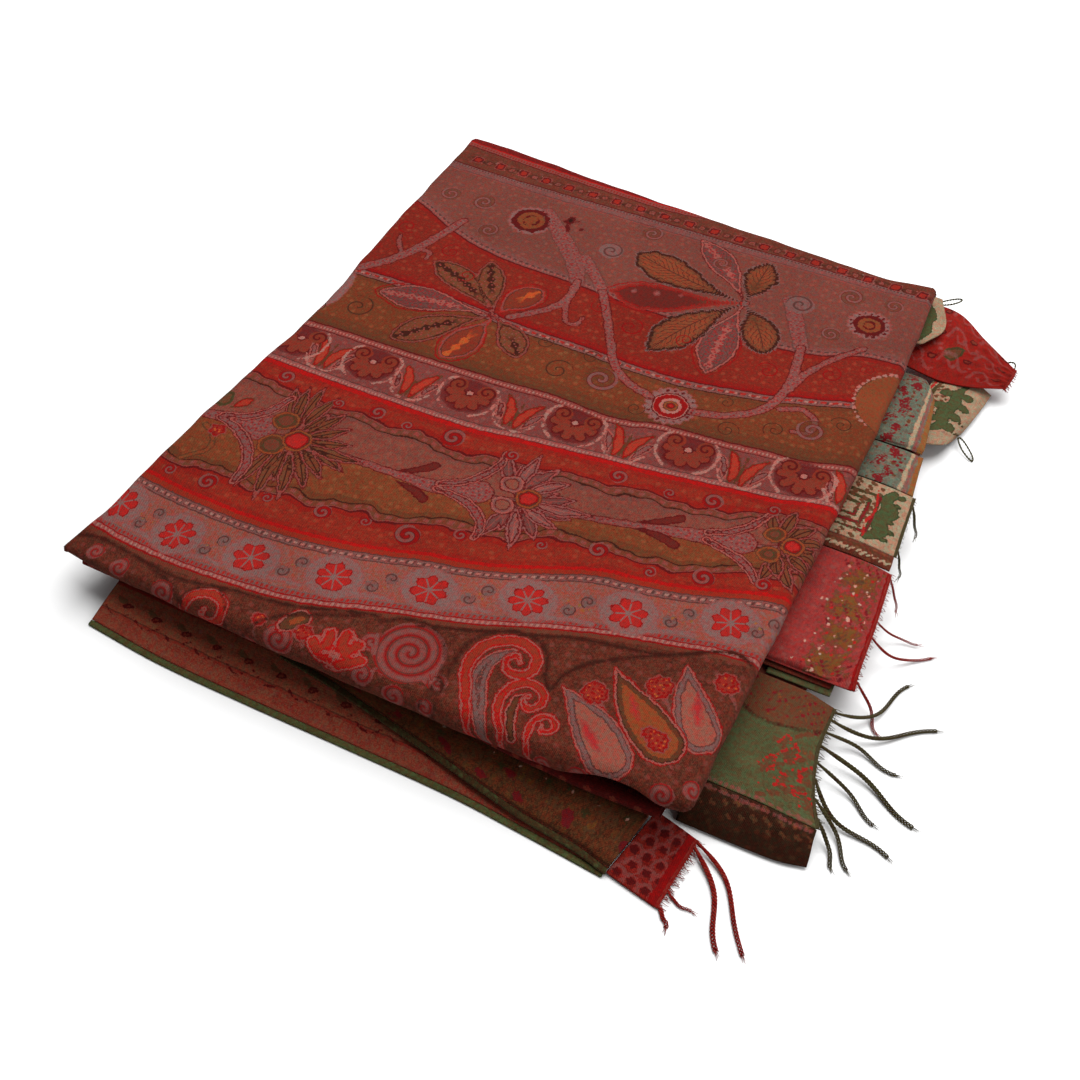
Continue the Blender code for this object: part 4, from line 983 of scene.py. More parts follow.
PROFILE_ENDS = (-PROFILE_REACH, PROFILE_REACH)
CURVE_X = (-260.0, 260.0)     # part of the cloth that a band edge's curve covers
CURVE_Y = (-300.0, 300.0)
TINTS = ((0.86, 1.16, 1.14, 1.0), (1.16, 0.80, 0.78, 1.0))    # greyer and redder wool in patches
NOISES = {
    # scale per millimetre, detail, roughness of the noises on a cloth
    "fray": (0.62, 1.0, 0.6), "waver": (0.16, 0.0), "vines": (0.36, 1.0, 0.7), "mottle": (0.55, 1.0, 0.65),
    "patches": (0.11, 1.0, 0.6), "sway": (0.075, 0.0), "tint": (0.34, 2.0, 0.7), "grain": (1.5, 0.0),
    "fading": (1.0 / 60.0, 2.0, 0.6), "grit": (0.55, 2.0, 0.75),
}
FRAY = 1.8                    # how far a motif's edge strays, finely and broadly
WAVER = 1.6
STRAY_MIDDLE = -1.7
FINE_DOTS = (2.9, 0.7)        # pitch, radius
BROAD_DOTS = (9.5, 1.6)
NET_SHARE = 0.6               # how strongly the net, the patches and the dots colour a ground
PATCH_SHARE = 0.25
DOT_SHARE = 0.4
TINT_SHARE = 0.9
LIGHT_MIDDLE = 0.36           # then how much each of these lightens and darkens the cloth
FADING = 0.30
GRIT = 0.80
GRAIN = 0.40
THREADS = 0.14
SPECKS = -0.10
TWILL_PITCH = 0.95            # distance between two diagonal ribs of the weave
TWILL_ACROSS = (0.62, 0.78)


def twill(n, x, y):
    """Fine diagonal ribs of a twill weave, from 0 to 1."""
    along = n.math("ADD", n.math("MULTIPLY", x, TWILL_ACROSS[0]), n.math("MULTIPLY", y, TWILL_ACROSS[1]))
    wave = n.math("SINE", n.math("MULTIPLY", along, 2.0 * math.pi / TWILL_PITCH))
    return n.math("ADD", n.math("MULTIPLY", wave, 0.5), 0.5)


def edge_gaps(n, place, x, y, ragged, edges):
    """Distance of the cloth to each band's edge, and how many edges lie before it."""
    index = 0.0
    gaps = []
    if edges:
        across = n.scale(x, *CURVE_X)
        raised = n.math("ADD", n.math("SUBTRACT", y, CURVE_Y[0]), n.math("MULTIPLY", ragged, 0.6))
        sway = n.math("SUBTRACT", n.noise(place, *NOISES["sway"]), 0.5)
    for points, _, _, _, reach in edges:
        curve = n.curve(across, [((px - CURVE_X[0]) / (CURVE_X[1] - CURVE_X[0]),
                                  (py - CURVE_Y[0]) / (CURVE_Y[1] - CURVE_Y[0])) for px, py in points])
        gap = n.fused(curve, CURVE_Y[0] - CURVE_Y[1], raised)
        if reach:
            gap = n.fused(sway, 2.0 * reach, gap)
        gaps.append(gap)
        index = n.math("ADD", index, n.step(gap, 0.0, EDGE_SOFT))
    return gaps, index


def draw_edges(n, colour, x, ragged, gaps, edges):
    """Lays the lines and beads beside the bands' edges over the colour so far."""
    beads_at = {}
    for gap, (_, start, lines, beads, _) in zip(gaps, edges):
        share = n.scale(gap, *PROFILE_ENDS)
        line, clear = n.ramp(share, band_stops(start, lines, *PROFILE_ENDS))
        colour = n.mix(clear, colour, line)
        for pitch, low, high, tint in beads:
            if pitch not in beads_at:
                wave = n.math("SINE", n.fused(x, 2.0 * math.pi / pitch, n.math("MULTIPLY", ragged, 0.4)))
                beads_at[pitch] = n.step(wave, 0.0, 0.9)
            line, clear = n.ramp(share, band_stops(low, [(tint, high)], *PROFILE_ENDS))
            colour = n.mix(n.math("MULTIPLY", clear, beads_at[pitch]), colour, line)
    return colour


def cloth_material(name, grounds, layers, edges=()):
    """Woven cloth: grounds between band edges, lines beside them, motif layers, specks, weave and fading.

    grounds: colour, colour of the fine net and colour of the dots of each band, from the front to the back
    edges: points of a band's edge, start and colours of the lines beside it, rows of beads, and its sway
    """
    n = Nodes(name)
    last = max(len(grounds) - 1, 1)
    columns = [[(k / last, ground[column]) for k, ground in enumerate(grounds)] for column in range(3)]
    place = n.attribute("cloth", "Vector")
    x, y, _ = n.split(place)
    marks = Marks(n, place)
    fray = n.noise(place, *NOISES["fray"])
    ragged = n.fused(fray, FRAY, n.fused(n.noise(place, *NOISES["waver"]), WAVER, STRAY_MIDDLE))
    vine = n.math("ABSOLUTE", n.math("SUBTRACT", n.noise(place, *NOISES["vines"]), 0.5))
    mottle = n.step(n.noise(place, *NOISES["mottle"]), 0.54, 0.10)
    specks = n.math("MAXIMUM", n.step(vine, 0.032, -0.03), n.math("MULTIPLY", mottle, 0.8))
    patches = n.step(n.noise(place, *NOISES["patches"]), 0.52, 0.30)
    fine = n.math("MULTIPLY", n.dots(place, *FINE_DOTS), 0.4)
    spots = n.math("MAXIMUM", fine, n.dots(place, *BROAD_DOTS))
    gaps, index = edge_gaps(n, place, x, y, ragged, edges)
    band = n.math("MULTIPLY", index, 1.0 / last)
    second = n.ramp(band, columns[1])[0]
    netted = n.fused(patches, PATCH_SHARE, n.math("MULTIPLY", specks, NET_SHARE))
    colour = n.mix(netted, n.ramp(band, columns[0])[0], second)
    colour = n.mix(n.math("MULTIPLY", spots, DOT_SHARE), colour, n.ramp(band, columns[2])[0])
    colour = draw_edges(n, colour, x, ragged, gaps, edges)
    shift = n.math("MULTIPLY", ragged, 1.0 / LAYER_REACH)
    for layer in LAYERS:
        if layer in layers:
            share = n.math("ADD", n.attribute("motif_" + layer), shift)
            colour = paint_layer(n, colour, layer, share, marks)
    threads = twill(n, x, y)
    tint = n.mix(n.step(n.noise(place, *NOISES["tint"]), 0.5, 0.26), *TINTS)
    colour = n.mix(TINT_SHARE, colour, n.mix(1.0, colour, tint, "MULTIPLY"))
    grain = n.noise(place, *NOISES["grain"])
    light = n.fused(n.noise(place, *NOISES["fading"]), FADING, LIGHT_MIDDLE - 0.5 * FADING)
    light = n.fused(n.noise(place, *NOISES["grit"]), GRIT, light)
    for value, strength in ((grain, GRAIN), (threads, THREADS), (specks, SPECKS)):
        light = n.fused(value, strength, light)
    height = n.fused(threads, 0.5, grain)
    rough = n.fused(grain, 0.16, CLOTH_ROUGHNESS)
    return n.finish(colour, light, rough, height, CLOTH_RELIEF, CLOTH_SHEEN)


def yarn_material(name, colours):
    """Wool yarn: its plies' colours run along it in patches."""
    n = Nodes(name)
    place = n.attribute("yarn", "Vector")
    patches = n.noise(place, *YARN_PATCHES)
    stops = [(k / max(len(colours) - 1, 1), c) for k, c in enumerate(colours)]
    colour = n.ramp(n.math("MULTIPLY", n.math("SUBTRACT", patches, 0.28), 2.3), stops)[0]
    fibre = n.noise(place, *YARN_FIBRE)
    light = n.math("ADD", n.math("MULTIPLY", fibre, 0.6), 0.66)
    rough = n.math("ADD", n.math("MULTIPLY", fibre, 0.12), YARN_ROUGHNESS)
    return n.finish(colour, light, rough, fibre, YARN_RELIEF, YARN_SHEEN)


def add_mesh(name, points, faces, material, nodes):
    """Shown piece from points in millimetres, standing for the CAD nodes named."""
    mesh = bpy.data.meshes.new(name)
    mesh.from_pydata((np.asarray(points, float) * MM).tolist(), [], faces)
    mesh.shade_smooth()
    mesh.materials.append(material)
    piece = bpy.data.objects.new(name, mesh)
    bpy.context.scene.collection.objects.link(piece)
    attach(piece, BODY)
    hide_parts(*nodes)
    return piece


def grid_faces(rows, columns, start=0, flip=False):
    """Four-sided faces between the points of a grid."""
    index = start + np.arange(rows * columns).reshape(rows, columns)
    a, b, c, d = index[:-1, :-1], index[1:, :-1], index[1:, 1:], index[:-1, 1:]
    order = (a, d, c, b) if flip else (a, b, c, d)
    return np.stack([o.ravel() for o in order], axis=1).tolist()


# ---------------------------------------------------------------- the top stretch
def upper_face(x, y):
    """Height of the packet's upper face."""
    away = ((x - CORNER_SAG["x"]) ** 2 + (y - CORNER_SAG["y"]) ** 2) / CORNER_SAG["reach"] ** 2
    height = PACKET_HEIGHT - CORNER_SAG["depth"] * np.exp(-away)
    height = height - FRONT_SAG * np.exp(-((y - FRONT_LINE) / FRONT_SAG_WIDTH) ** 2)
    for swell_x, swell_y, reach, rise in SWELLS:
        height = height + rise * np.exp(-((x - swell_x) ** 2 + (y - swell_y) ** 2) / reach ** 2)
    return height


def span_places(cells, low_cells, high_cells):
    """Places across the stretch: share of the flat middle, signed share of a roll, how deep inside it."""
    low = [(0.0, -0.8, CLOTH), (0.0, -1.0, CLOTH)]
    low += [(0.0, -1.0 + k / low_cells, 0.0) for k in range(low_cells)]
    middle = [(k / cells, 0.0, 0.0) for k in range(cells + 1)]
    high = [(1.0, (k + 1) / high_cells, 0.0) for k in range(high_cells)]
    high += [(1.0, 1.0, CLOTH), (1.0, 0.8, CLOTH)]
    return np.array(low + middle + high)


def crease_height(x, y):
    """Height of the soft ridges and troughs at a place on the cloth."""
    height = np.zeros_like(x)
    for x0, y0, x1, y1, width, rise in CREASES:
        span = np.array([x1 - x0, y1 - y0])
        length = float(np.linalg.norm(span))
        along = ((x - x0) * span[0] + (y - y0) * span[1]) / length ** 2
        t = np.clip(along, 0.0, 1.0)
        side = np.hypot(x - x0 - t * span[0], y - y0 - t * span[1])
        height += rise * np.exp(-(side / width) ** 2) * (0.65 + 0.35 * np.sin(7.0 * t + 2.0 * rise))
    return height


def top_grid():
    """Points of the top stretch, and where they lie on the cloth."""
    across = span_places(TOP_CELLS[0], ROLL_CELLS["left"], ROLL_CELLS["right"])
    along = span_places(TOP_CELLS[1], ROLL_CELLS["front"], ROLL_CELLS["back"])
    front = resample(FOLDS["front"], TOP_CELLS[0])
    back = resample(FOLDS["back"], TOP_CELLS[0])
    left = resample(FOLDS["left"], TOP_CELLS[1])
    right = resample(FOLDS["right"], TOP_CELLS[1])
    i = np.rint(across[:, 0] * TOP_CELLS[0]).astype(int)
    j = np.rint(along[:, 0] * TOP_CELLS[1]).astype(int)
    u = across[:, 0][:, None, None]
    v = along[:, 0][None, :, None]
    blend = ((1 - v) * front[i][:, None, :] + v * back[i][:, None, :]
             + (1 - u) * left[j][None, :, :] + u * right[j][None, :, :]
             - (1 - u) * (1 - v) * front[0] - u * (1 - v) * front[-1]
             - (1 - u) * v * back[0] - u * v * back[-1])
    x, y, radius, turn = (blend[..., k] for k in range(4))
    roll_x = np.broadcast_to(across[:, 1][:, None], x.shape)
    roll_y = np.broadcast_to(along[:, 1][None, :], x.shape)
    share = np.maximum(np.abs(roll_x), np.abs(roll_y))
    inset = np.maximum(across[:, 2][:, None], along[:, 2][None, :])
    norm = np.maximum(np.hypot(roll_x, roll_y), 1e-9)
    away_x, away_y = roll_x / norm, roll_y / norm
    angle = np.radians(turn) * share
    cloth_x = x + away_x * radius * angle
    cloth_y = y + away_y * radius * angle
    ripple = np.zeros_like(x)
    for length, rise, phase in ROLL_RIPPLES:
        along_roll = cloth_x * np.abs(away_y) + cloth_y * np.abs(away_x)
        ripple += rise * np.sin(2.0 * np.pi * along_roll / length + phase)
    lift = crease_height(cloth_x, cloth_y) + ripple * np.sin(np.minimum(angle, np.pi))
    lift = lift * np.clip(1.2 - 0.5 * share, 0.0, 1.0) - inset
    out = radius * np.sin(angle) + lift * np.sin(angle)
    rise = -radius * (1.0 - np.cos(angle)) + lift * np.cos(angle)
    points = np.stack([x + away_x * out, y + away_y * out, upper_face(x, y) + rise], axis=-1)
    return points, cloth_x, cloth_y


BAND_EDGES = [
    # front to back: name, points, start of the lines beside the edge, the lines (colour, far side, alpha if
    # it isn't 1), rows of beads (pitch, from, to, colour), sway
    ("field_edge", [
        (-235, -214), (-200, -222), (-150, -228), (-100, -229), (-50, -223), (0, -207), (50, -192),
        (100, -172), (150, -156), (200, -145), (240, -142),
    ], -3.6, [
        ("brown", -0.6, 0.8), ("crimson", 0.8), ("rose_mauve", 3.6), ("crimson", 4.5), ("mauve", 6.9),
        ("mauve_grey", 8.4),
    ], [(3.3, 1.2, 3.2, "pale"), (3.3, 5, 7.4, "red_glow")], 0),
    ("floret_top", [
        (-235, -166), (-200, -171), (-150, -176), (-100, -177), (-50, -171), (-20, -163), (0, -156),
        (30, -149), (50, -142), (75, -131), (100, -120), (125, -115), (150, -109), (175, -100),
        (200, -91), (240, -88),
    ], -12.4, [
        ("mauve_dark", -11.4), ("mauve", -6.6), ("mauve_dark", -5.6), ("orange_red", -1.7),
        ("crimson_bright", 1.1), ("crimson", 4.4, 0.4),
    ], [(3.3, -10.4, -7.6, "mauve_dark"), (5.1, -9.8, -8, "pale")], 0),
    ("scallop_low", [
        (-235, -146), (-200, -155), (-182, -160), (-165, -157), (-150, -156), (-130, -159), (-100, -153),
        (-84, -154), (-66, -148), (-52, -144), (-36, -147), (-20, -139), (0, -131), (16, -129),
        (36, -126), (60, -111), (80, -108), (98, -104), (122, -103), (150, -97), (165, -88), (200, -78),
        (240, -76),
    ], -5, [
        ("crimson", -0.9, 0.55), ("wine", 0.6), ("pink_dim", 1.3), ("brown", 5.8, 0.75),
        ("dark_brown", 6.9), ("olive_brown", 10.6, 0.55),
    ], [(7.3, 2.2, 4.8, "pink_dim")], 3.2),
    ("stem_line", [
        (-235, -110), (-200, -112), (-150, -112), (-100, -107), (-50, -107), (0, -103), (15, -96),
        (50, -87), (80, -83), (110, -75), (150, -68), (175, -60), (200, -52), (240, -46),
    ], -1.6, [("dark_brown", -0.2), ("mauve", 1.6), ("wine", 2.4, 0.7)], [], 0),
    ("scallop_high", [
        (-235, -60), (-200, -64), (-180, -66), (-150, -69), (-112, -70), (-90, -68), (-72, -70),
        (-58, -65), (-40, -68), (-24, -70), (0, -64), (30, -60), (55, -54), (85, -51), (100, -46),
        (125, -46), (145, -42), (165, -33), (200, -24), (240, -20),
    ], -9.6, [
        ("mauve_dim", -7.2, 0.5), ("dark_brown", -6.1), ("brown", -1.3, 0.85), ("pink_dim", -0.6),
        ("wine", 0.9), ("crimson", 5, 0.55),
    ], [(7.3, -5, -2.4, "pink_dim")], 3.2),
    ("rosette_low", [
        (-235, -49), (-200, -50), (-150, -51), (-100, -51), (-50, -50), (-20, -48), (0, -44), (50, -37),
        (100, -30), (150, -21.5), (175, -17.5), (200, -10), (240, -8),
    ], -5.6, [
        ("crimson", -1.9, 0.45), ("crimson_bright", 1.7), ("wine", 2.3), ("rose_mauve", 6.4),
        ("mauve_dark", 7.3),
    ], [(2.6, 2.9, 4.7, "pale")], 0),
    ("rosette_top", [
        (-235, -4), (-200, -3), (-150, -1), (-100, 0), (-50, 2), (-20, 4), (0, 6), (50, 5), (66, 8),
        (76, 12), (100, 15), (130, 18), (150, 21), (180, 24), (200, 31), (240, 40),
    ], -6.4, [
        ("wine", -5.5), ("pink_dim", -0.8), ("wine", 0.5), ("olive_brown", 4, 0.9),
        ("olive_brown", 11, 0.5),
    ], [(2.6, -4.2, -2.4, "pale")], 0),
    ("red_low", [
        (-235, 66), (-185, 66), (-150, 67), (-100, 66), (-50, 62), (0, 62), (60, 60.5), (80, 62),
        (100, 65.5), (120, 70), (137, 74), (150, 79), (170, 86), (185, 92), (200, 96), (240, 100),
    ], -12.8, [
        ("olive_brown", -9.2, 0.45), ("dark_brown", -8.2), ("mauve", -2.3), ("wine", -1.2),
        ("crimson", 0.9), ("crimson", 5, 0.5),
    ], [(3.3, -6.8, -4.2, "mauve_dark"), (5.1, -6.2, -4.2, "pale"), (7.3, -6, -3.8, "red_glow")], 0),
    ("red_high", [
        (-235, 172), (-200, 160), (-185, 155), (-165, 146), (-150, 138), (-140, 134), (-120, 127),
        (-100, 123), (-75, 120.5), (-50, 120), (-25, 119), (0, 117), (60, 116), (100, 117), (150, 125),
        (165, 132), (180, 138.5), (205, 141), (240, 143),
    ], -5, [("crimson", -1.2, 0.5), ("wine", 0.3), ("mauve", 5.4, 0.8), ("mauve", 9, 0.4)], [
        (2.6, 1.4, 3.2, "pink"), (5.1, 2.8, 4.6, "mauve_dark"),
    ], 0),
    ("mauve_low", [
        (-235, 208), (-150, 207), (-100, 206), (-50, 207), (50, 208), (100, 209), (150, 211), (200, 214),
        (240, 217),
    ], -1.2, [("pink_dim", 0, 0.8), ("mauve_dark", 0.8, 0.8)], [], 0),
    ("border_low", [(-235, 218), (-150, 215), (-100, 215), (0, 216), (100, 217), (150, 218), (240, 220)],
     -2.8, [("mauve_grey", -0.6), ("wine", 0.6)], [(2.6, -2.6, -1.2, "mauve_dark")], 0),
    ("back_edge", [
        (-235, 249), (-195, 247), (-150, 243.5), (-100, 240.5), (-50, 238), (0, 238), (40, 246),
        (90, 258), (240, 290),
    ], -6.4, [("wine", -5.4), ("pink_dim", -1), ("crimson_bright", 0.4)], [(2.6, -4.4, -2.2, "leaf_red")],
     0),
]
BAND_GROUNDS = [
    # colour, fine net, dots: each band, front to back
    ("leaf_ground", "dark_brown", "pink_dim"),
    ("floret_ground", "halo_grey", "orange_red_pale"),
    ("orange_red", "orange_red_dim", "orange_red_pale"),
    ("ochre", "ochre_dim", "ochre_pale"),
    ("salmon", "salmon_dim", "salmon_pale"),
    ("orange_red", "orange_red_dim", "orange_red_pale"),
    ("rosette_ground", "mauve_dim", "pink"),
    ("ochre_deep", "ochre_dim", "ochre_pale"),
    ("orange_red_deep", "orange_red_dim", "orange_red_pale"),
    ("salmon_deep", "mauve_dim", "salmon_pale"),
    ("mauve", "mauve_dim", "pink"),
    ("brown", "brown_dim", "pink_dim"),
    ("deep_red", "wine", "red"),
]


def band_height(name, x):
    """Y of a band edge at x."""
    points = next(row[1] for row in BAND_EDGES if row[0] == name)
    return float(np.interp(x, [p[0] for p in points], [p[1] for p in points]))


def draw_back_border(c):
    """Row of small squares in the brown border along the back."""
    pitch, first, half = 20.3, -171.0, 3.7
    for k in range(20):
        x = first + pitch * k
        y = 225.5 - 0.25 * k
        c.square("square", x, y, half)
        c.square("dark_square", x + 0.5 * pitch, y - 0.3, 0.84 * half)
        for side in (-1.0, 1.0):
            c.oval("pale", x + 0.5 * pitch + side * 5.2, y + 2.4 * side, 0.9)
            c.oval("dark", x + side * 5.6, y - 1.2 * side, 1.3)


PALMATE_LEAVES = {
    # centre, and for each leaflet: layer, tip x, y, half width, sideways bend, widest place
    "right": ((84, 154), [
        ("toothed_leaf", -9, 174, 16, 3, 0.74), ("toothed_leaf", 84, 206, 12, 0, 0.62),
        ("mauve_leaf", 27, 210, 11, -4, 0.66), ("red_leaf", -8, 125, 14.5, 4, 0.72),
        ("toothed_leaf", 43, 76, 15.5, -4, 0.68), ("mauve_leaf", 88, 72, 14, -2, 0.64),
        ("toothed_leaf", 116, 109, 13.5, 3, 0.66),
    ]),
    "left": ((-68, 60), [
        ("brown_leaf", -100, 115, 10.5, 1, 0.66), ("brown_leaf", -138, 97, 11.5, -4, 0.7),
        ("mauve_leaf", -156, 48, 13, -2, 0.7), ("brown_leaf", -122, 7, 13, -3, 0.7),
        ("orange_leaf", -80, 5, 12.5, 1, 0.66), ("brown_leaf", -33, 29, 10.5, 3, 0.66),
        ("orange_leaf", -50, 101, 11.5, 3, 0.68),
    ]),
}
STEMS = [
    # layer, then rows of x, y and half width
    ("faint_stem", [(-90, 188, 5.5), (-66, 164, 7), (-46, 143, 7), (-33, 122, 5.5)]),
    ("stem", [(-33, 122, 3), (-31, 104, 2.8), (-37, 86, 2.8), (-58, 64, 2.6)]),
    ("faint_stem", [(-40, 150, 4.5), (-24, 134, 4.5), (-12, 120, 4.5)]),
    ("stem", [(-12, 120, 3), (2, 98, 2.8), (16, 74, 2.8), (30, 52, 2.8), (46, 40, 2.8), (64, 34, 2.8)]),
    ("faint_stem", [(112, 172, 5.5), (126, 148, 6), (137, 126, 5.5)]),
    ("stem", [(137, 126, 3.2), (142, 98, 3), (142, 74, 3), (134, 54, 3), (116, 40, 2.8), (94, 33, 2.8)]),
    ("stem", [(176, 146, 2), (160, 124, 2.2), (150, 104, 2.4), (145, 84, 2.6)]),
    ("stem", [(-142, 150, 3), (-150, 124, 3.4), (-158, 100, 3.6), (-168, 82, 3.6), (-182, 66, 3.6)]),
    ("stem", [(-31, 104, 1.7), (-26, 88, 1.7), (-20, 78, 1.6), (-13, 79, 1.6), (-12, 87, 1.4)]),
    ("stem", [(-162, 92, 1.7), (-171, 102, 1.6), (-176, 112, 1.3)]),
    ("stem", [(-154, 104, 1.7), (-146, 104, 1.5), (-144, 96, 1.3)]),
    ("stem", [(146, 62, 2), (160, 68, 2), (172, 60, 1.9), (170, 48, 1.6), (161, 46, 1.4)]),
]
FIELD_CURLS = [
    # layer, then for each curl: x, y, radius, angle of its outer end, hand
    ("curl_crimson", [
        (-176, 124, 9, -60, 1), (-132, 112, 9, 100, -1), (-108, 92, 7, -60, -1), (22, 94, 10, 60, 1),
        (-6, 104, 7, 200, -1), (62, 98, 7, 240, 1), (125, 94, 9, 150, 1), (164, 110, 8.5, 60, 1),
        (186, 126, 6, 200, 1), (-190, 92, 8, 20, 1),
    ]),
    ("curl_mauve", [(27, 35, 12, 60, 1), (172, 52, 10, 150, -1)]),
    ("curl_olive", [
        (-160, 26, 12, 40, 1), (-186, 14, 9, 220, 1), (-3, 30, 11, 90, -1), (12, 52, 7, 90, -1),
        (-24, 52, 7, 20, 1), (60, 19, 7, 0, 1), (122, 28, 8, 90, -1), (150, 42, 8, 180, 1),
        (188, 66, 8, 120, 1), (112, 52, 6, 120, 1),
    ]),
    ("curl_grey", [(120, 171, 10, 120, 1), (-27, 167, 9, 60, 1)]),
    ("curl_mauve", [
        (-140, 178, 9, 10, 1), (-168, 176, 8, 90, -1), (150, 196, 9, 200, 1), (-8, 200, 8, 100, 1),
        (-120, 148, 8, 160, 1), (52, 190, 7, 300, 1), (180, 200, 7, 300, -1), (150, 150, 7, 60, -1),
    ]),
]


def draw_palmate(c, centre, leaflets):
    """Leaflets spread from one point, the brighter ones with a red glow round them."""
    for layer, x, y, half, bend, belly in leaflets:
        c.leaf(layer, centre, (x, y), half, bend, belly)
        if layer in ("orange_leaf", "red_leaf") or (layer == "mauve_leaf" and y < 100.0):
            tip = (1.05 * x - 0.05 * centre[0], 1.05 * y - 0.05 * centre[1])
            c.leaf("glow", centre, tip, half + 2.6, bend, belly)
        if layer == "red_leaf":
            for share, size in ((0.48, 1.6), (0.66, 2.6), (0.83, 2.0)):
                spot_x, spot_y = (middle + share * (end - middle) for middle, end in zip(centre, (x, y)))
                c.oval("spot", spot_x, spot_y + 2.0, size)
    c.oval("stem", centre[0], centre[1], 3.2)


RING_ROSETTES = [
    # x, y, radius of the fringe, rings from below: layer, radius, half width or 0 for a disc
    (-97, 173, 18, [("ochre", 13.5, 0), ("ring", 12.4, 1.9), ("ring", 5.6, 0.9)]),
    (171, 172, 16, [("ochre", 10.5, 0), ("ring", 9.6, 1.7), ("ring", 4, 0.9)]),
    (80, 32, 18.5, [("heart", 12.6, 0), ("crimson", 9.4, 1.9), ("red_eye", 4.2, 0)]),
]


def draw_ring_rosette(c, x, y, fringe, rings):
    """Round flower of rings, with a toothed fringe round them."""
    c.flower("halo", x, y, fringe, 20, 0.16)
    for k in range(18):
        angle = 2.0 * math.pi * k / 18
        c.oval("ring", x + 0.82 * fringe * math.cos(angle), y + 0.82 * fringe * math.sin(angle), 1.0)
    for layer, radius, half in rings:
        if half:
            c.ring(layer, x, y, radius, half)
        else:
            c.oval(layer, x, y, radius)


def draw_upper_field(c):
    """Palmate leaves on stems, round flowers, curls, and the beaded arc at the fringed end."""
    for layer, rows in STEMS:
        c.swelling(layer, rows)
    for centre, leaflets in PALMATE_LEAVES.values():
        draw_palmate(c, centre, leaflets)
    for rosette in RING_ROSETTES:
        draw_ring_rosette(c, *rosette)
    for layer, rows in FIELD_CURLS:
        for curl in rows:
            c.curl(layer, *curl)
    arc_x, arc_y, arc_radius = 217.0, 101.0, 31.0
    c.oval("ochre", arc_x, arc_y, arc_radius)
    for k in range(17):
        angle = math.radians(112.0 + 8.0 * k)
        beads = arc_radius + 0.5
        c.oval("pale", arc_x + beads * math.cos(angle), arc_y + beads * math.sin(angle), 1.4)
    c.oval("halo", -186.0, 36.0, 10.0, 24.0)
    c.oval("stain", -70.0, 186.0, 2.4, 5.0)
    c.ribbon("stain", [(-74.0, 184.0), (-64.0, 188.0)], [1.2, 0.8])
    c.ribbon("stain", [(-70.0, 180.0), (-66.0, 173.0)], [1.2, 0.6])
    c.oval("stain", -58.0, 180.0, 1.5)


ROSETTES = [-177, -119, -45, 31, 107, 182, 254]
LEAF_PAIRS = [-150, -83, -7, 69, 145, 212]


ROSETTE_FRAME = [(15, 14), (19.5, 9), (20.5, -2), (17, -11), (10, -17)]
LEAF_GROUP = [
    # layer, then rows of x and y from its middle, and half width
    ("petal_mauve", [(8, -14, 0.6), (10.5, -6, 2.4), (13.5, 1, 2.4), (17.5, 6, 0.6)]),
    ("petal", [(3.6, -14.5, 0.8), (3.8, -7, 3), (5.4, 0, 3.3), (8.6, 7, 2.4), (13, 13, 0.5)]),
]
LEAF_GROUP_FOOT = [(2, -17.5), (9, -15.5), (15, -7)]


def rosette_middle(x):
    """Middle line of the rosettes' band."""
    return 0.5 * (band_height("rosette_low", x) + band_height("rosette_top", x))


def draw_rosette_border(c):
    """Half-open rosettes, each a fan of lobes under two curls, and upright leaf groups between them."""
    for x in ROSETTES:
        y = rosette_middle(x) + 3.0
        c.oval("capsule", x, y - 0.5, 18.0, 15.5)
        for k in range(5):
            angle = math.radians(-170.0 + 40.0 * k)
            tip = (x + 13.0 * math.cos(angle), y + 2.0 + 12.5 * math.sin(angle))
            c.drop("rosette", (x, y + 2.6), tip, 4.5)
        for hand in (-1.0, 1.0):
            c.curl("curl_wine", x + hand * 10.5, y + 7.5, 6.4, 90.0 - hand * 60.0, -hand, 1.3)
            c.stroke("pale", [(x + hand * side, y + up) for side, up in ROSETTE_FRAME], 0.95)
        c.oval("heart", x, y + 2.6, 2.9)
    for x in LEAF_PAIRS:
        y = rosette_middle(x)
        for hand in (-1.0, 1.0):
            for layer, rows in LEAF_GROUP:
                c.swelling(layer, [(x + hand * side, y + up, half) for side, up, half in rows])
            c.stroke("pale", [(x + hand * side, y + up) for side, up in LEAF_GROUP_FOOT], 0.9)
        c.stroke("olive", [(x, y - 14.0), (x, y - 4.0), (x, y + 10.0)], 1.1, 0.7)


FLORETS = [
    (-197, -200), (-147, -208), (-93, -206), (-39, -197), (17, -180), (73, -161), (130, -143),
    (186, -122), (226, -112),
]


def draw_floret_border(c):
    """Row of small red flowers, with two curls and a row of dots between two of them."""
    for k, (x, y) in enumerate(FLORETS):
        c.oval("halo", x, y + 0.5, 19.0, 16.5)
        c.flower("floret", x, y, 11.5, 8 if k % 2 else 7, 0.38, 35.0 + 11.0 * k)
    for (x0, y0), (x1, y1) in zip(FLORETS[:-1], FLORETS[1:]):
        x, y = 0.5 * (x0 + x1), 0.5 * (y0 + y1)
        tilt = (y1 - y0) / (x1 - x0)
        c.curl("curl_grey", x - 4.0, y - 5.0, 4.6, 20.0, 1.0, 1.2)
        c.curl("curl_grey", x + 4.0, y + 6.0, 4.6, 200.0, 1.0, 1.2)
        ends = [(x + side, y - 12.0 + side * tilt) for side in (-12.0, 12.0)]
        c.stroke("halo", [ends[0], (x, y - 10.5), ends[1]], 2.2)
        for k in range(5):
            c.oval("gold", x - 7.0 + 3.5 * k, y + 1.5 * (-1) ** k, 0.9)


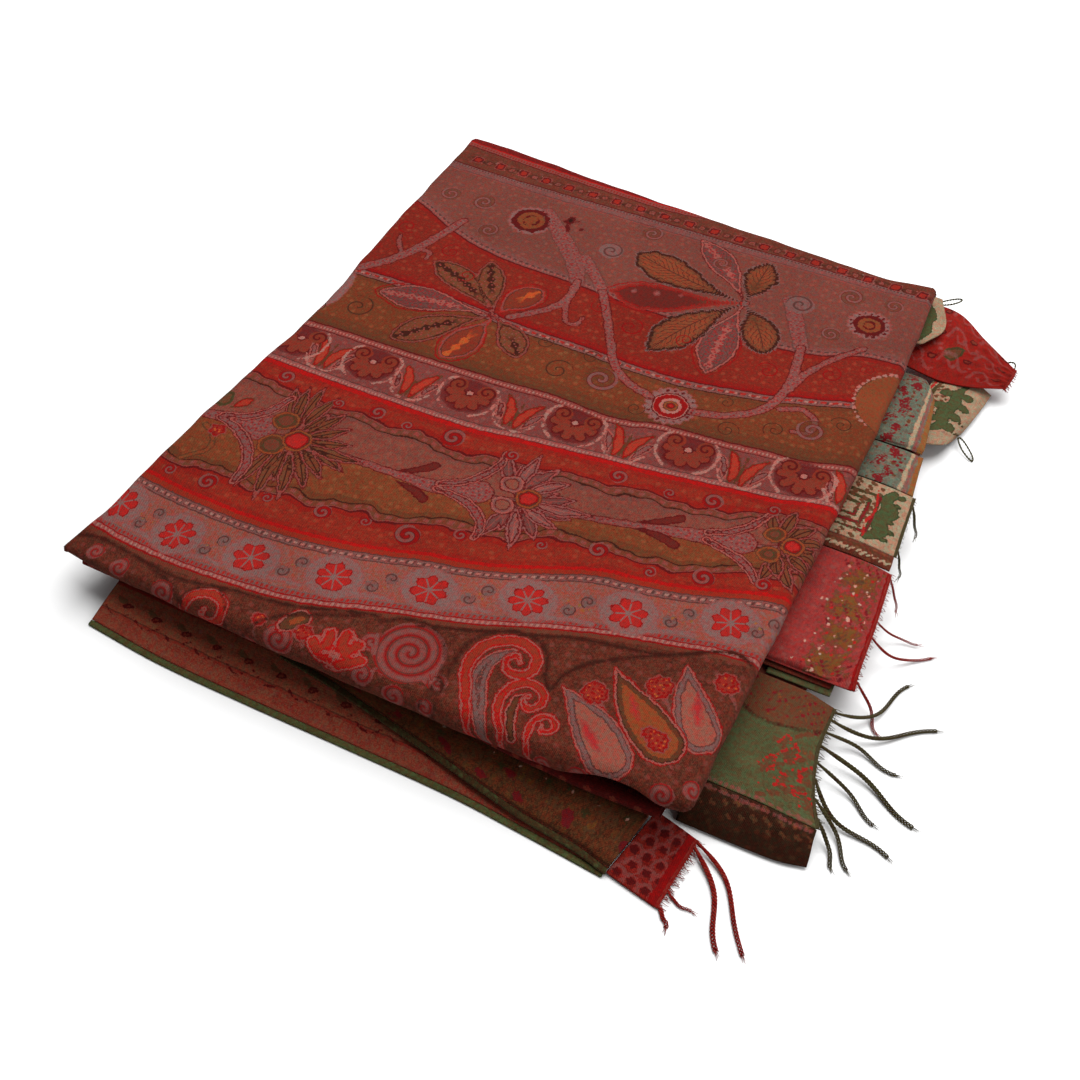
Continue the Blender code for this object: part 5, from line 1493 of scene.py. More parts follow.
FLOWER_HEADS = [
    # petal layers; heart x, y; tips; eyes' layer; eyes x, y, radius; red eye x, y, radius
    (("spike", "spike_over"), (-128, -108), [
        (-152, -64), (-144, -60), (-134, -57), (-120, -61), (-107, -72), (-97, -84), (-88, -97),
        (-74, -108), (-80, -121), (-89, -133), (-95, -145), (-105, -160), (-119, -166), (-137, -161),
    ], "eye", [(-140, -96, 8.8), (-136, -119, 9.4)], (-123, -109, 9.4)),
    (("plume", "plume_over"), (27, -90), [
        (5, -55), (25, -48), (42, -54), (54, -63), (63, -74), (78, -82), (68, -91), (63, -102),
        (55, -118), (44, -131), (21, -131),
    ], "pale_eye", [(20, -80, 7.6), (23, -99, 7.6)], (35, -87, 7.8)),
    (("spike", "spike_over"), (190, -53), [
        (176, -27), (190, -20), (206, -28), (216, -38), (224, -50), (218, -64), (210, -84), (199, -78),
        (188, -86),
    ], "eye", [(184, -45, 6.6), (186, -62, 6.6)], (197, -50, 6.8)),
]
CENTRE_STEMS = [
    # layer, then rows of x, y and half width: the stems that widen into the flower heads
    ("stem", [
        (-220, -112, 2.6), (-196, -113, 3.2), (-178, -111, 4.6), (-166, -110, 8), (-154, -108, 13),
    ]),
    ("calyx", [
        (-182, -112, 2.6), (-166, -116, 3.4), (-150, -127, 3.8), (-141, -142, 3.4), (-140, -157, 2.4),
    ]),
    ("calyx", [(-180, -109, 2.4), (-166, -104, 3), (-155, -92, 3.2), (-149, -76, 2.4)]),
    ("stem", [(-82, -107, 1.9), (-52, -106, 2.8), (-31, -105, 4.4), (-12, -102, 6), (4, -96, 9.5)]),
    ("calyx", [(-22, -105, 2.2), (-4, -106, 3), (10, -111, 3.4), (19, -120, 3.2), (20, -131, 2.2)]),
    ("calyx", [(-22, -101, 2.2), (-7, -91, 2.8), (1, -80, 3), (5, -68, 2.8), (4, -57, 1.8)]),
    ("stem", [(64, -87, 1.9), (101, -78, 2.6), (127, -71, 4.2), (150, -65, 6), (168, -60, 9)]),
    ("calyx", [(148, -68, 2.2), (166, -72, 2.8), (178, -77, 3), (187, -86, 2.2)]),
    ("calyx", [(146, -62, 2), (160, -54, 2.8), (169, -43, 2.8), (176, -29, 2)]),
]
SLIM_LEAVES = [
    # base x, y, tip x, y, half width, bend
    (-53, -104, -31, -88, 3.4, -1.5), (-51, -111, -24, -117, 3.6, 2), (101, -75, 127, -59, 3.4, -1.5),
    (102, -80, 132, -81, 3.6, 2),
]
SCALLOP_CURLS = [
    # x, y, radius, angle of the outer end, hand
    (-164, -59, 6, -110, -1), (-118, -66, 4, -110, -1), (-90, -62, 6, -110, -1), (-34, -60, 8.2, -40, -1),
    (-66, -64, 4, -110, 1), (8, -57, 4.6, -90, -1), (77, -43, 6, -100, -1), (112, -42, 4, -100, 1),
    (139, -36, 6.8, -60, -1), (176, -26, 4.4, -90, -1), (-155, -164, 6.6, 60, -1),
    (-184, -165, 4.4, 90, 1), (-112, -160, 4, 90, 1), (-74, -155, 6, 60, -1), (-17, -148, 8.4, 50, -1),
    (-46, -150, 4, 90, 1), (12, -133, 4.8, 60, -1), (60, -118, 4, 90, 1), (93, -106, 6.4, 60, -1),
    (158, -97, 7, 50, -1), (128, -108, 4, 90, 1), (192, -86, 5, 60, -1),
]


def draw_flower_head(c, layers, heart, tips, eye_layer, eyes, red_eye):
    """Spiky composite flower that opens to the right of its stem."""
    under, over = layers
    for (x0, y0), (x1, y1) in zip(tips[:-1], tips[1:]):
        middle = (0.5 * (x0 + x1), 0.5 * (y0 + y1))
        tip = [h + 0.74 * (m - h) for h, m in zip(heart, middle)]
        c.leaf(under, heart, tip, 4.0, 0.0, 0.62)
    for k, (x, y) in enumerate(tips):
        c.leaf(over if k % 2 else under, heart, (x, y), 4.6, 2.0 * (-1) ** (k // 4), 0.60)
    for x, y, radius in eyes:
        c.oval(eye_layer, x, y, radius, 0.92 * radius)
    c.oval("red_eye", *red_eye)


def draw_centre_band(c):
    """Flower heads on their stems, and curls in the scallops."""
    for layer, rows in CENTRE_STEMS:
        c.swelling(layer, rows)
    for head in FLOWER_HEADS:
        draw_flower_head(c, *head)
    for x0, y0, x1, y1, half, bend in SLIM_LEAVES:
        c.drop("slim_leaf", (x0, y0), (x1, y1), half, bend)
    for x, y, radius, turn, hand in SCALLOP_CURLS:
        c.curl("curl_pink", x, y, radius, turn, hand, 1.35)
    c.leaf("petal", (-181.0, -103.0), (-171.0, -88.0), 3.4, 0.0, 0.66)
    c.flower("blossom", -176.0, -123.0, 6.0, 5, 0.35, 40.0)
    c.stroke("ochre", [(-186, -122), (-176, -128), (-172, -140), (-184, -154)], 2.4, 2.0)
    c.oval("patch", -189.0, -96.0, 6.0, 8.0)


FIELD_ARCS = [
    # half width, points of the dark arcs in the brown field
    (1.3, [
        (-210, -232), (-188, -228), (-150, -234), (-120, -237), (-90, -232), (-50, -226), (-20, -216),
        (0, -210),
    ]),
    (1.3, [(24, -206), (50, -197), (67, -190)]),
    (1.4, [(80, -186), (112, -173), (138, -167), (160, -161), (180, -150), (198, -142), (214, -148)]),
    (1.1, [(-150, -235), (-128, -242), (-113, -254), (-106, -266)]),
    (1.1, [(-100, -234), (-111, -241), (-114, -251), (-112, -266)]),
    (1.1, [(-96, -234), (-86, -243), (-82, -256), (-80, -268)]),
    (1.2, [(-72, -268), (-66, -252), (-54, -237), (-34, -226), (-8, -214)]),
    (1.2, [(2, -214), (14, -206), (30, -203), (44, -210), (52, -226), (53, -244), (48, -262)]),
    (1.4, [
        (60, -262), (58, -240), (56, -222), (57, -204), (67, -190), (82, -184), (95, -186), (104, -196),
        (107, -206), (114, -212), (116, -200), (125, -187), (141, -174), (160, -161),
    ]),
]
SCROLLS = [
    # rows of x, y and half width from the tail to the heart of the curl
    [
        (-116, -266, 1.6), (-113, -254, 2.8), (-108, -244, 3.4), (-98, -239, 3.6), (-88, -243, 3.6),
        (-86, -252, 3.2), (-92, -258, 2.8), (-99, -255, 2.2), (-97, -249, 1.8),
    ],
    [
        (86, -266, 1.8), (79, -248, 2.6), (71, -234, 3.4), (64, -220, 3.8), (64, -206, 4), (72, -195, 4),
        (85, -190, 4), (96, -195, 3.8), (99, -204, 3.6), (94, -211, 3.2), (86, -211, 2.8),
        (82, -205, 2.2), (86, -200, 2), (90, -203, 1.6),
    ],
    [
        (104, -266, 1.4), (101, -250, 2.2), (94, -239, 2.8), (91, -227, 3.1), (95, -217, 3.2),
        (104, -213, 3.2), (112, -217, 3), (113, -224, 2.6), (108, -229, 2.4), (103, -225, 1.8),
        (105, -221, 1.4),
    ],
    [
        (122, -266, 1.2), (118, -252, 1.8), (115, -242, 2.2), (115, -234, 2.4), (120, -229, 2.4),
        (126, -231, 2.2), (127, -236, 2), (122, -239, 1.6), (120, -235, 1.2),
    ],
]
FIELD_FLORETS = [
    # x, y, radius, end of its stalk x, y
    (137, -203, 8, 156, -217), (168, -183, 8.2, 187, -200), (201, -164, 7.4, 212, -176),
    (182, -217, 6.6, 196, -229), (-33, -240, 6, -26, -252), (-62, -243, 5, -60, -256),
]
FIELD_SWIRLS = [
    # x, y, radius, angle of the outer end, hand, turns
    (30, -225, 21.5, 200, 1, 3.4), (6, -228, 6.5, 40, 1, 1.5), (54, -236, 6, 160, 1, 1.4),
    (12, -250, 7, 100, 1, 1.4), (34, -255, 7.5, 80, -1, 1.4), (54, -254, 6, 80, 1, 1.4),
    (-130, -250, 9, 60, 1, 1.8), (-45, -250, 10, 60, 1, 1.8), (-66, -262, 6, 60, 1, 1.4),
    (-166, -243, 7, 30, 1, 1.5), (-188, -238, 6, 30, 1, 1.4), (197, -246, 7, 90, 1, 1.6),
    (211, -236, 6, 90, 1, 1.4), (150, -256, 6.5, 90, 1, 1.5), (128, -258, 5.5, 90, -1, 1.4),
    (178, -256, 6.5, 90, 1, 1.5),
]


LONG_DROPS = [
    # layer, then rows of x, y and half width
    ("drop_mauve", [(83, -197, 0.8), (77, -204, 3.2), (73, -215, 4.6), (76, -228, 5), (84, -242, 4),
                    (94, -262, 2.6)]),
    ("drop_brown", [(104, -220, 0.8), (100, -226, 2.6), (101, -236, 3.2), (108, -250, 2.6)]),
]
FIELD_DROPS = [
    # layer, tip, end, half width, bend
    ("drop_brown", (-48, -248), (-40, -232), 6.4, 1.5), ("drop_mauve", (119, -207), (162, -238), 13.5, 2),
    ("drop_brown", (140, -182), (184, -217), 13.5, -2), ("drop_mauve", (176, -162), (201, -202), 12, -2),
]
DROP_CORES = [
    # rows of x, y and half width
    [(138, -222, 1), (146, -229, 3.4), (155, -236, 1.6)],
    [(189, -177, 1), (193, -187, 3.2), (197, -197, 1.6)],
    [(155, -194, 0.8), (161, -202, 2.8), (166, -208, 1.4)],
]


def draw_brown_field(c):
    """Dark arcs, hooked scrolls, spirals, drops and small red flowers on the brown border."""
    for half, points in FIELD_ARCS:
        c.stroke("dark", points, half)
    for rows in SCROLLS:
        c.swelling("scroll", rows)
    for layer, rows in LONG_DROPS:
        c.swelling(layer, rows)
    for swirl in FIELD_SWIRLS:
        c.curl("curl_swirl", *swirl)
    for k in range(5):
        angle = math.radians(20.0 + 35.0 * k)
        end = (-9.0 + 17.0 * math.cos(angle), -249.0 + 19.0 * math.sin(angle))
        c.drop("scroll", (-9.0, -256.0), end, 4.2)
    for drop in FIELD_DROPS:
        c.drop(*drop)
    for rows in DROP_CORES:
        c.swelling("drop_core", rows)
    c.flower("blossom", 175.0, -214.0, 4.6, 6, 0.3, 15.0)
    for x, y, radius, end_x, end_y in FIELD_FLORETS:
        c.stroke("spot", [(x, y), (0.5 * (x + end_x), 0.5 * (y + end_y) - 1.0), (end_x, end_y)], 1.1, 0.8)
        c.flower("blossom", x, y, radius, 9, 0.16, 15.0)


def make_top_cloth():
    """The top stretch with its four rolls and all its motifs."""
    points, x, y = top_grid()
    rows, columns = x.shape
    canvas = Canvas(x, y)
    draw_upper_field(canvas)
    draw_back_border(canvas)
    draw_rosette_border(canvas)
    draw_centre_band(canvas)
    draw_floret_border(canvas)
    draw_brown_field(canvas)
    edges = [row[1:] for row in BAND_EDGES]
    material = cloth_material("field_cloth", BAND_GROUNDS, list(canvas.layers), edges)
    piece = add_mesh("top_cloth", points.reshape(-1, 3), grid_faces(rows, columns), material,
                     ["top_panel"])
    canvas.store(piece.data)
    store_cloth_place(piece.data, x, y)
    add_bake_map(piece.data, rows, columns)
    return piece


def add_bake_map(mesh, rows, columns):
    """Map of the whole cloth for baking, one square cell to a face."""
    layer = mesh.uv_layers.new(name="OFBake")
    corners = np.zeros(len(mesh.loops), dtype=np.int32)
    mesh.loops.foreach_get("vertex_index", corners)
    u = (corners // columns) / (rows - 1) * 0.98 + 0.01
    v = (corners % columns) / (columns - 1) * 0.98 + 0.01
    layer.data.foreach_set("uv", np.column_stack([u, v]).astype(np.float32).ravel())


# ---------------------------------------------------------------- hidden layers
def packet_outline(step):
    """Rounded outline of one hidden layer."""
    corners = np.array(PACKET_CORNERS_BEFORE_STEP + STEP_CORNERS[step] + PACKET_CORNERS_AFTER_STEP)
    points = []
    for k, corner in enumerate(corners):
        before = corners[k - 1] - corner
        after = corners[(k + 1) % len(corners)] - corner
        cut = min(CORNER_ROUND, 0.3 * np.linalg.norm(before), 0.3 * np.linalg.norm(after))
        before *= cut / np.linalg.norm(before)
        after *= cut / np.linalg.norm(after)
        for t in (0.0, 0.25, 0.5, 0.75, 1.0):
            points.append(corner + before * (1 - t) ** 2 + after * t ** 2)
    closed = np.array(points + points[:1])
    lengths = running_length(closed)
    return along_line(np.linspace(0.0, lengths[-1], STACK_POINTS + 1)[:-1], lengths, closed)


def settled(x, y):
    """How far the packet has settled at a place, as a share of its height."""
    return np.clip(CORNER_SETTLE * (PACKET_HEIGHT - upper_face(x, y)), 0.0, None) / PACKET_HEIGHT


def make_layer_stack():
    """The hidden layers: a rounded edge for each, with a deep line between two of them."""
    rings = []
    level = 0
    for bottom, top, step, count in STACK:
        thick = (top - bottom) / count
        base = packet_outline(step)
        centre = base.mean(axis=0)
        away = base - centre
        away /= np.linalg.norm(away, axis=1, keepdims=True)
        for k in range(count):
            places = np.arange(STACK_POINTS) / STACK_POINTS * 2.0 * np.pi
            wander = STACK_WANDER * (0.5 + 0.28 * np.sin(5.0 * places + 1.7 * level)
                                     + 0.22 * np.sin(11.0 * places + 2.9 * level))
            fold = STACK_FOLD_INSET * (level % 3 == 1)
            for share, depth in STACK_EDGE_PROFILE:
                ring = base - away * (wander + fold + depth)[:, None]
                height = bottom + k * thick + share * thick
                rings.append(np.column_stack([ring, height * (1.0 - settled(ring[:, 0], ring[:, 1]))]))
            level += 1
    edge = rings[-1]
    for share in STACK_LID_SHARES:
        x, y = edge[:, 0] * share, edge[:, 1] * share
        lid = (PACKET_HEIGHT - CLOTH - LAY_GAP - STACK_LID_GAP) * (1.0 - settled(x, y))
        rings.append(np.column_stack([x, y, lid]))
    count = STACK_POINTS
    faces = []
    for r in range(len(rings) - 1):
        for k in range(count):
            after = (k + 1) % count
            faces.append((r * count + k, r * count + after, (r + 1) * count + after, (r + 1) * count + k))
    faces.append(tuple(reversed(range(count))))
    faces.append(tuple((len(rings) - 1) * count + k for k in range(count)))
    x = np.tile(np.arange(count) / count * STACK_LENGTH, len(rings))
    y = np.repeat(np.arange(len(rings)) * STACK_RING_PITCH, count)
    piece = add_mesh("layer_stack", np.vstack(rings), faces, stack_material(),
                     ["hidden_layers"])
    store_cloth_place(piece.data, x, y)
    return piece


STACK_COLOURS = [
    (0, "shadow_red"), (0.22, "wine"), (0.42, "brown_dim"), (0.55, "deep_red"), (0.7, "brown"),
    (0.86, "orange_red_dim"), (1, "mauve_dim"),
]


def stack_material():
    """Cloth seen at its folds: each fold has its own reds and browns, with dots of the pattern."""
    n = Nodes("hidden_cloth")
    place = n.attribute("cloth", "Vector")
    x, y, _ = n.split(place)
    layer = n.math("FLOOR", n.math("MULTIPLY", y, 1.0 / (len(STACK_EDGE_PROFILE) * STACK_RING_PITCH)))
    patch = n.noise(n.join(n.math("MULTIPLY", x, 0.045), n.math("MULTIPLY", layer, 7.3)), 1.0, 2.0, 0.6)
    colour = n.ramp(n.math("MULTIPLY", n.math("SUBTRACT", patch, 0.25), 2.0), STACK_COLOURS)[0]
    dots = n.step(n.noise(n.join(x, n.math("MULTIPLY", layer, 3.1)), 0.32, 2.0, 0.6), 0.56, 0.1)
    colour = n.mix(n.math("MULTIPLY", dots, 0.55), colour, n.colour("salmon"))
    grain = n.noise(place, 1.4, 2.0, 0.6)
    light = n.math("ADD", n.math("MULTIPLY", grain, 0.5), 0.62)
    rough = n.math("ADD", n.math("MULTIPLY", grain, 0.14), CLOTH_ROUGHNESS)
    return n.finish(colour, light, rough, grain, CLOTH_RELIEF, CLOTH_SHEEN)


# ---------------------------------------------------------------- leaves and blocks
def wall(node, outer, thickness, inside, material, draw=None):
    """Closed piece of even thickness from its outer points, with the pattern on both its faces.

    It stands for the CAD node named.
    """
    normal = grid_normals(outer)
    middle = normal[normal.shape[0] // 2, normal.shape[1] // 2]
    turned = float(np.dot(middle, np.array(inside, float))) < 0.0
    if turned:
        normal = -normal
    inner = outer + normal * thickness
    rows, columns = outer.shape[:2]
    offset = rows * columns
    points = np.vstack([outer.reshape(-1, 3), inner.reshape(-1, 3)])
    faces = grid_faces(rows, columns, 0, not turned) + grid_faces(rows, columns, offset, turned)
    rim = ([i * columns for i in range(rows)] + [(rows - 1) * columns + j for j in range(1, columns)]
           + [i * columns + columns - 1 for i in range(rows - 2, -1, -1)] + list(range(columns - 2, 0, -1)))
    for a, b in zip(rim, rim[1:] + rim[:1]):
        faces.append((a, b, b + offset, a + offset) if not turned else (b, a, a + offset, b + offset))
    along = running_length(outer[:, columns // 2])
    across = running_length(outer[rows // 2])
    x = np.repeat(along[:, None], columns, axis=1)
    y = np.repeat(across[None, :], rows, axis=0)
    canvas = Canvas(x, y)
    if draw is not None:
        draw(canvas, float(along[-1]), float(across[-1]))
    piece = add_mesh(node + "_cloth", points, faces, material(list(canvas.layers)), [node])
    canvas.store(piece.data, 2)
    store_cloth_place(piece.data, x, y, 2)
    return piece


LEAF_WAVES = {
    # soft waves of a leaf's free part: height, wave length along, phase
    "lower_leaf": (0.45, 74, 0.5), "upper_leaf": (0.35, 58, 1.2), "red_block": (0.3, 21, 0),
    "green_block": (0.5, 26, 0.8), "brown_band": (0.35, 19, 2), "pink_block": (0.5, 33, 1),
    "cream_block": (0.25, 24, 0.6), "blue_block_front": (0.3, 19, 0), "blue_block_back": (0.4, 23, 1),
    "leaf_block": (0.35, 25, 2.2), "red_corner": (0.5, 17, 0.4),
}


def leaf_grid(name):
    """Outer points of a leaf, with its soft waves."""
    rows = LEAVES[name]
    length = sum(float(np.linalg.norm(np.subtract(a[1], b[1]))) for a, b in zip(rows[:-1], rows[1:]))
    width = sum(float(np.linalg.norm(np.subtract(a, b))) for a, b in zip(rows[1][:-1], rows[1][1:]))
    cell = LEAF_CELL if length < LONG_LEAF else LONG_LEAF_CELL
    grid = smooth_net(rows, max(int(length / cell), 6), max(int(width / cell), 6))
    if name in LEAF_WAVES:
        rise, wave, phase = LEAF_WAVES[name]
        along = np.linspace(0.0, length, grid.shape[0])[:, None]
        across = np.linspace(0.0, width, grid.shape[1])[None, :]
        ripple = np.sin(2.0 * np.pi * (along + 0.6 * across) / wave + phase)
        ripple = ripple + 0.5 * np.sin(2.0 * np.pi * (across - 0.5 * along) / (0.6 * wave) + 2.0 * phase)
        margin = np.minimum(np.minimum(np.linspace(0, 1, grid.shape[0])[:, None] * 4.0,
                                       np.linspace(0, 1, grid.shape[1])[None, :] * 4.0), 1.0)
        margin = margin * np.minimum(np.linspace(1, 0, grid.shape[1])[None, :] * 4.0, 1.0)
        ground = np.clip((grid[..., 2] - THIN_CLOTH - GROUND_GAP) / 3.0, 0.0, 1.0)
        grid[..., 2] += rise * ripple * margin * ground
    return grid


def material_of(name, grounds, edges=()):
    """What makes a cloth's material once its layers are known."""
    return lambda layers: cloth_material(name, grounds, layers, edges)


def flat_edge(distance, start, lines):
    """Straight lines side by side, at a distance across the piece."""
    return ([(x, distance) for x in CURVE_X], start, lines, [], 0.0)


def stripe(c, layer, x, width, half):
    """Straight stripe across a piece."""
    c.ribbon(layer, [(x, 0.0), (x, width)], [half, half])


def draw_lower_leaf(c, length, width):
    """Faint sprays on the red-brown border."""
    for k in range(int(length / 23.0)):
        x = 9.0 + 23.0 * k
        c.leaf("brown_fleck", (x - 4.0, 12.0), (x + 9.0, 17.0), 2.2, 1.0)
        c.leaf("rosette", (x + 3.0, 21.0), (x + 12.0, 17.0), 2.2, -1.0)
        c.stroke("ring", [(x - 6.0, 24.0), (x, 27.0), (x + 7.0, 26.0), (x + 13.0, 22.0)], 0.5, 0.4)
        c.oval("spot", x + 15.0, 13.0, 1.0)


def draw_upper_leaf(c, length, width):
    """Patches of olive, gold and red figures on the dark border."""
    for k in range(int(length / 17.0)):
        x = 7.0 + 17.0 * k
        for share, layer in ((0.20, "gold_fleck"), (0.38, "patch"), (0.56, "gold_fleck"), (0.72, "fleck")):
            place = share * width + 3.0 * math.sin(1.9 * k + 9.0 * share)
            start = x + 9.0 * math.sin(2.7 * k + 14.0 * share)
            c.leaf(layer, (start - 7.0, place - 2.4), (start + 7.0, place + 2.4), 2.0, 1.6 * (-1) ** k, 0.6)
        c.oval("white", x + 4.0, 0.34 * width, 0.8)
    scatter(c, "gold_fleck", (2.0, 3.0), (length - 2.0, width - 6.0), int(length / 2.2), 1.3, 3)


def scatter(c, layer, low, high, count, size, seed):
    """Small ovals spread over a rectangle."""
    for k in range(count):
        u = (0.137 + 0.6180 * k + 0.173 * seed) % 1.0
        v = (0.419 + 0.3247 * k * (1.0 + 0.11 * seed)) % 1.0
        x, y = low[0] + (high[0] - low[0]) * u, low[1] + (high[1] - low[1]) * v
        c.oval(layer, x, y, size * (0.7 + 0.6 * u), size * (0.8 + 0.5 * v))


def draw_sprig(c, x, y, size, turn, blossom, leaf="brown_fleck"):
    """Small bush: a stem, paired twigs and dots of blossom."""
    a = math.radians(turn)
    along = np.array([math.cos(a), math.sin(a)])
    side = np.array([-along[1], along[0]])
    root = np.array([x, y])
    c.ribbon(leaf, [root - along * size, root + along * size], [0.9, 0.7])
    for k in range(4):
        stop = root + along * size * (-0.7 + 0.45 * k)
        for hand in (-1.0, 1.0):
            head = stop + side * hand * size * (0.74 - 0.15 * k) + along * 0.30 * size
            c.leaf(leaf, stop, head, 0.20 * size, 0.0, 0.7)
            c.oval(blossom, head[0], head[1], 0.15 * size)
    top = root + along * size
    c.oval(blossom, top[0], top[1], 0.17 * size)


def draw_red_block(c, length, width):
    """Rose scrolls and dark flowers on deep red."""
    for k in range(6):
        for m in range(4):
            x = 4.0 + 8.2 * m + 4.1 * (k % 2)
            y = 4.0 + 8.4 * k
            c.flower("ring", x, y, 2.6, 5, 0.35, 30.0 * k)
            c.stroke("spot", [(x - 4.0, y - 1.0), (x - 2.0, y + 3.2), (x + 2.0, y + 3.4), (x + 3.4, y + 0.6)],
                     0.7, 0.5)
            c.oval("spot", x + 4.2, y - 2.4, 1.1, 0.8)
    stripe(c, "crimson", length - 2.4, width, 2.4)


def draw_green_block(c, length, width):
    """Mottled brown upper border under a curved dark line, and a bush of sprigs near the free edge."""
    for k in range(26):
        x = 1.0 + 2.8 * k
        reach = 14.0 + 12.0 * math.sin(0.045 * x + 0.4)
        c.ribbon("brown_fleck", [(x, width - reach), (x + 2.8, width + 4.0)], [3.0, 3.0])
        c.ribbon("dark", [(x, width - reach - 3.0), (x + 2.8, width - reach - 3.2)], [0.6, 0.6])
    scatter(c, "fleck", (2.0, width - 24.0), (length - 2.0, width - 2.0), 46, 0.9, 1)
    scatter(c, "gold_fleck", (2.0, width - 24.0), (length - 2.0, width - 2.0), 60, 1.4, 3)
    for x, y, size, turn in ((34.0, 26.0, 6.0, 80.0), (44.0, 38.0, 6.4, 70.0), (46.0, 18.0, 6.0, 100.0),
                             (56.0, 30.0, 6.0, 60.0), (56.0, 12.0, 5.4, 110.0), (38.0, 44.0, 5.0, 90.0)):
        draw_sprig(c, x, y, size, turn, "red_fleck")
    scatter(c, "red_fleck", (34.0, 8.0), (length - 3.0, 46.0), 16, 1.0, 4)
    scatter(c, "gold_fleck", (30.0, 8.0), (length - 3.0, 46.0), 30, 1.2, 5)
    scatter(c, "brown_fleck", (length - 24.0, 2.0), (length - 1.0, width - 20.0), 60, 1.6, 6)
    for k in range(int(length / 3.4)):
        c.oval("spot", 1.6 + 3.4 * k, 1.8, 1.0)


def draw_pink_block(c, length, width):
    """Dense golden-brown bushes on the outer half, with small white and red dots."""
    for k in range(4):
        y = 11.0 + 23.0 * k
        middle = length - 20.0 + 3.0 * math.sin(2.0 * k)
        for m in range(9):
            angle = math.radians(40.0 * m + 25.0 * k)
            reach = 11.0 if m % 2 else 8.0
            head = (middle + 1.15 * reach * math.cos(angle), y + reach * math.sin(angle))
            c.leaf("gold_fleck", (middle, y), head, 3.0, 1.0 * (-1) ** m, 0.6)
            c.oval("white" if m % 3 == 0 else "red_fleck", head[0], head[1], 1.0)
        c.oval("patch", middle, y, 3.6)
        scatter(c, "gold_fleck", (middle - 11.0, y - 9.0), (middle + 11.0, y + 9.0), 34, 2.0, k)
    scatter(c, "gold_fleck", (length - 34.0, 1.0), (length - 4.0, width - 1.0), 110, 1.5, 1)
    scatter(c, "white", (length - 40.0, 1.0), (length - 6.0, width - 1.0), 34, 0.7, 3)
    scatter(c, "fleck", (length - 36.0, 1.0), (length - 5.0, width - 1.0), 60, 1.0, 5)
    stripe(c, "crimson", length - 0.6, width, 0.9)


def draw_cream_block(c, length, width):
    """Nested dotted frames on the inner half, a green leaf on the outer half."""
    for half in (6.0, 11.5, 17.0):
        signs = ((-1, -1), (1, -1), (1, 1), (-1, 1), (-1, -1))
        c.ribbon("patch", [(16.0 + half * sx, 26.0 + half * sy) for sx, sy in signs], [1.5] * 5)
        for k in range(int(half)):
            place = -half + 2.0 * (k + 0.5)
            c.oval("fleck", 16.0 + place, 26.0 - half, 0.9)
            c.oval("fleck", 16.0 + half, 26.0 + place, 0.9)
    scatter(c, "brown_fleck", (0.0, 0.0), (33.0, width), 90, 1.3, 4)
    c.swelling("green", [(34, 6, 3), (41, 14, 5), (38, 24, 5.6), (42, 33, 6.4), (38, 42, 4.6), (41, 50, 3)])
    for k in range(6):
        c.oval("green", 45.0 + 1.5 * (k % 2), 9.0 + 8.0 * k, 3.0, 2.2)
    c.stroke("red_fleck", [(33, 4), (30.5, 18), (33, 30), (30, 48)], 0.7)


def draw_blue_block(c, length, width):
    """Clusters of dark red flecks on grey-blue, with cream and red stripes beside the free edge."""
    inner, outer = max(length - 34.0, 2.0), length - 11.0
    for k in range(int(width / 9.0) + 1):
        x = 0.5 * (inner + outer) + 4.0 * math.sin(2.3 * k)
        draw_sprig(c, x, 4.0 + 9.0 * k, 4.6, 70.0 + 30.0 * (k % 2), "fleck", "fleck")
    scatter(c, "fleck", (inner, 1.0), (outer, width - 1.0), int(0.6 * width), 0.9, 1)
    scatter(c, "brown_fleck", (inner - 8.0, 1.0), (outer, width - 1.0), int(0.4 * width), 1.2, 3)
    scatter(c, "spot", (inner, 1.0), (outer, width - 1.0), int(0.4 * width), 0.7, 5)
    for layer, inset, half in (("cream", 8.4, 1.3), ("spot", 5.4, 1.1), ("gold", 1.6, 1.8)):
        stripe(c, layer, length - inset, width, half)


def draw_leaf_block(c, length, width):
    """Large green leaf with brown and red stripes beside it."""
    c.swelling("green", [(12, 12, 2.4), (20, 22, 4.4), (18, 34, 5.6), (22, 46, 4.8), (20, 58, 3.8),
                         (24, 70, 2)])
    for x, y, end_x, end_y in ((18, 24, 32, 17), (18, 34, 33, 30), (20, 44, 35, 44), (21, 56, 34, 58),
                               (18, 30, 8, 24), (19, 44, 8, 40), (20, 58, 9, 56)):
        c.leaf("green", (x, y), (end_x, end_y), 4.4, 1.0, 0.55)
    scatter(c, "brown_fleck", (0.0, 4.0), (14.0, width - 4.0), 40, 1.5, 7)
    c.stroke("patch", [(4.0, 2.0), (8.0, 24.0), (4.0, 50.0), (8.0, 78.0)], 1.8, 1.4)
    c.stroke("red_fleck", [(1.0, 2.0), (4.5, 24.0), (1.0, 50.0), (4.5, 78.0)], 0.9)
    scatter(c, "patch", (0.0, 0.0), (length, width), 24, 1.4, 2)
    scatter(c, "spot", (8.0, 4.0), (30.0, width - 4.0), 12, 1.0, 4)


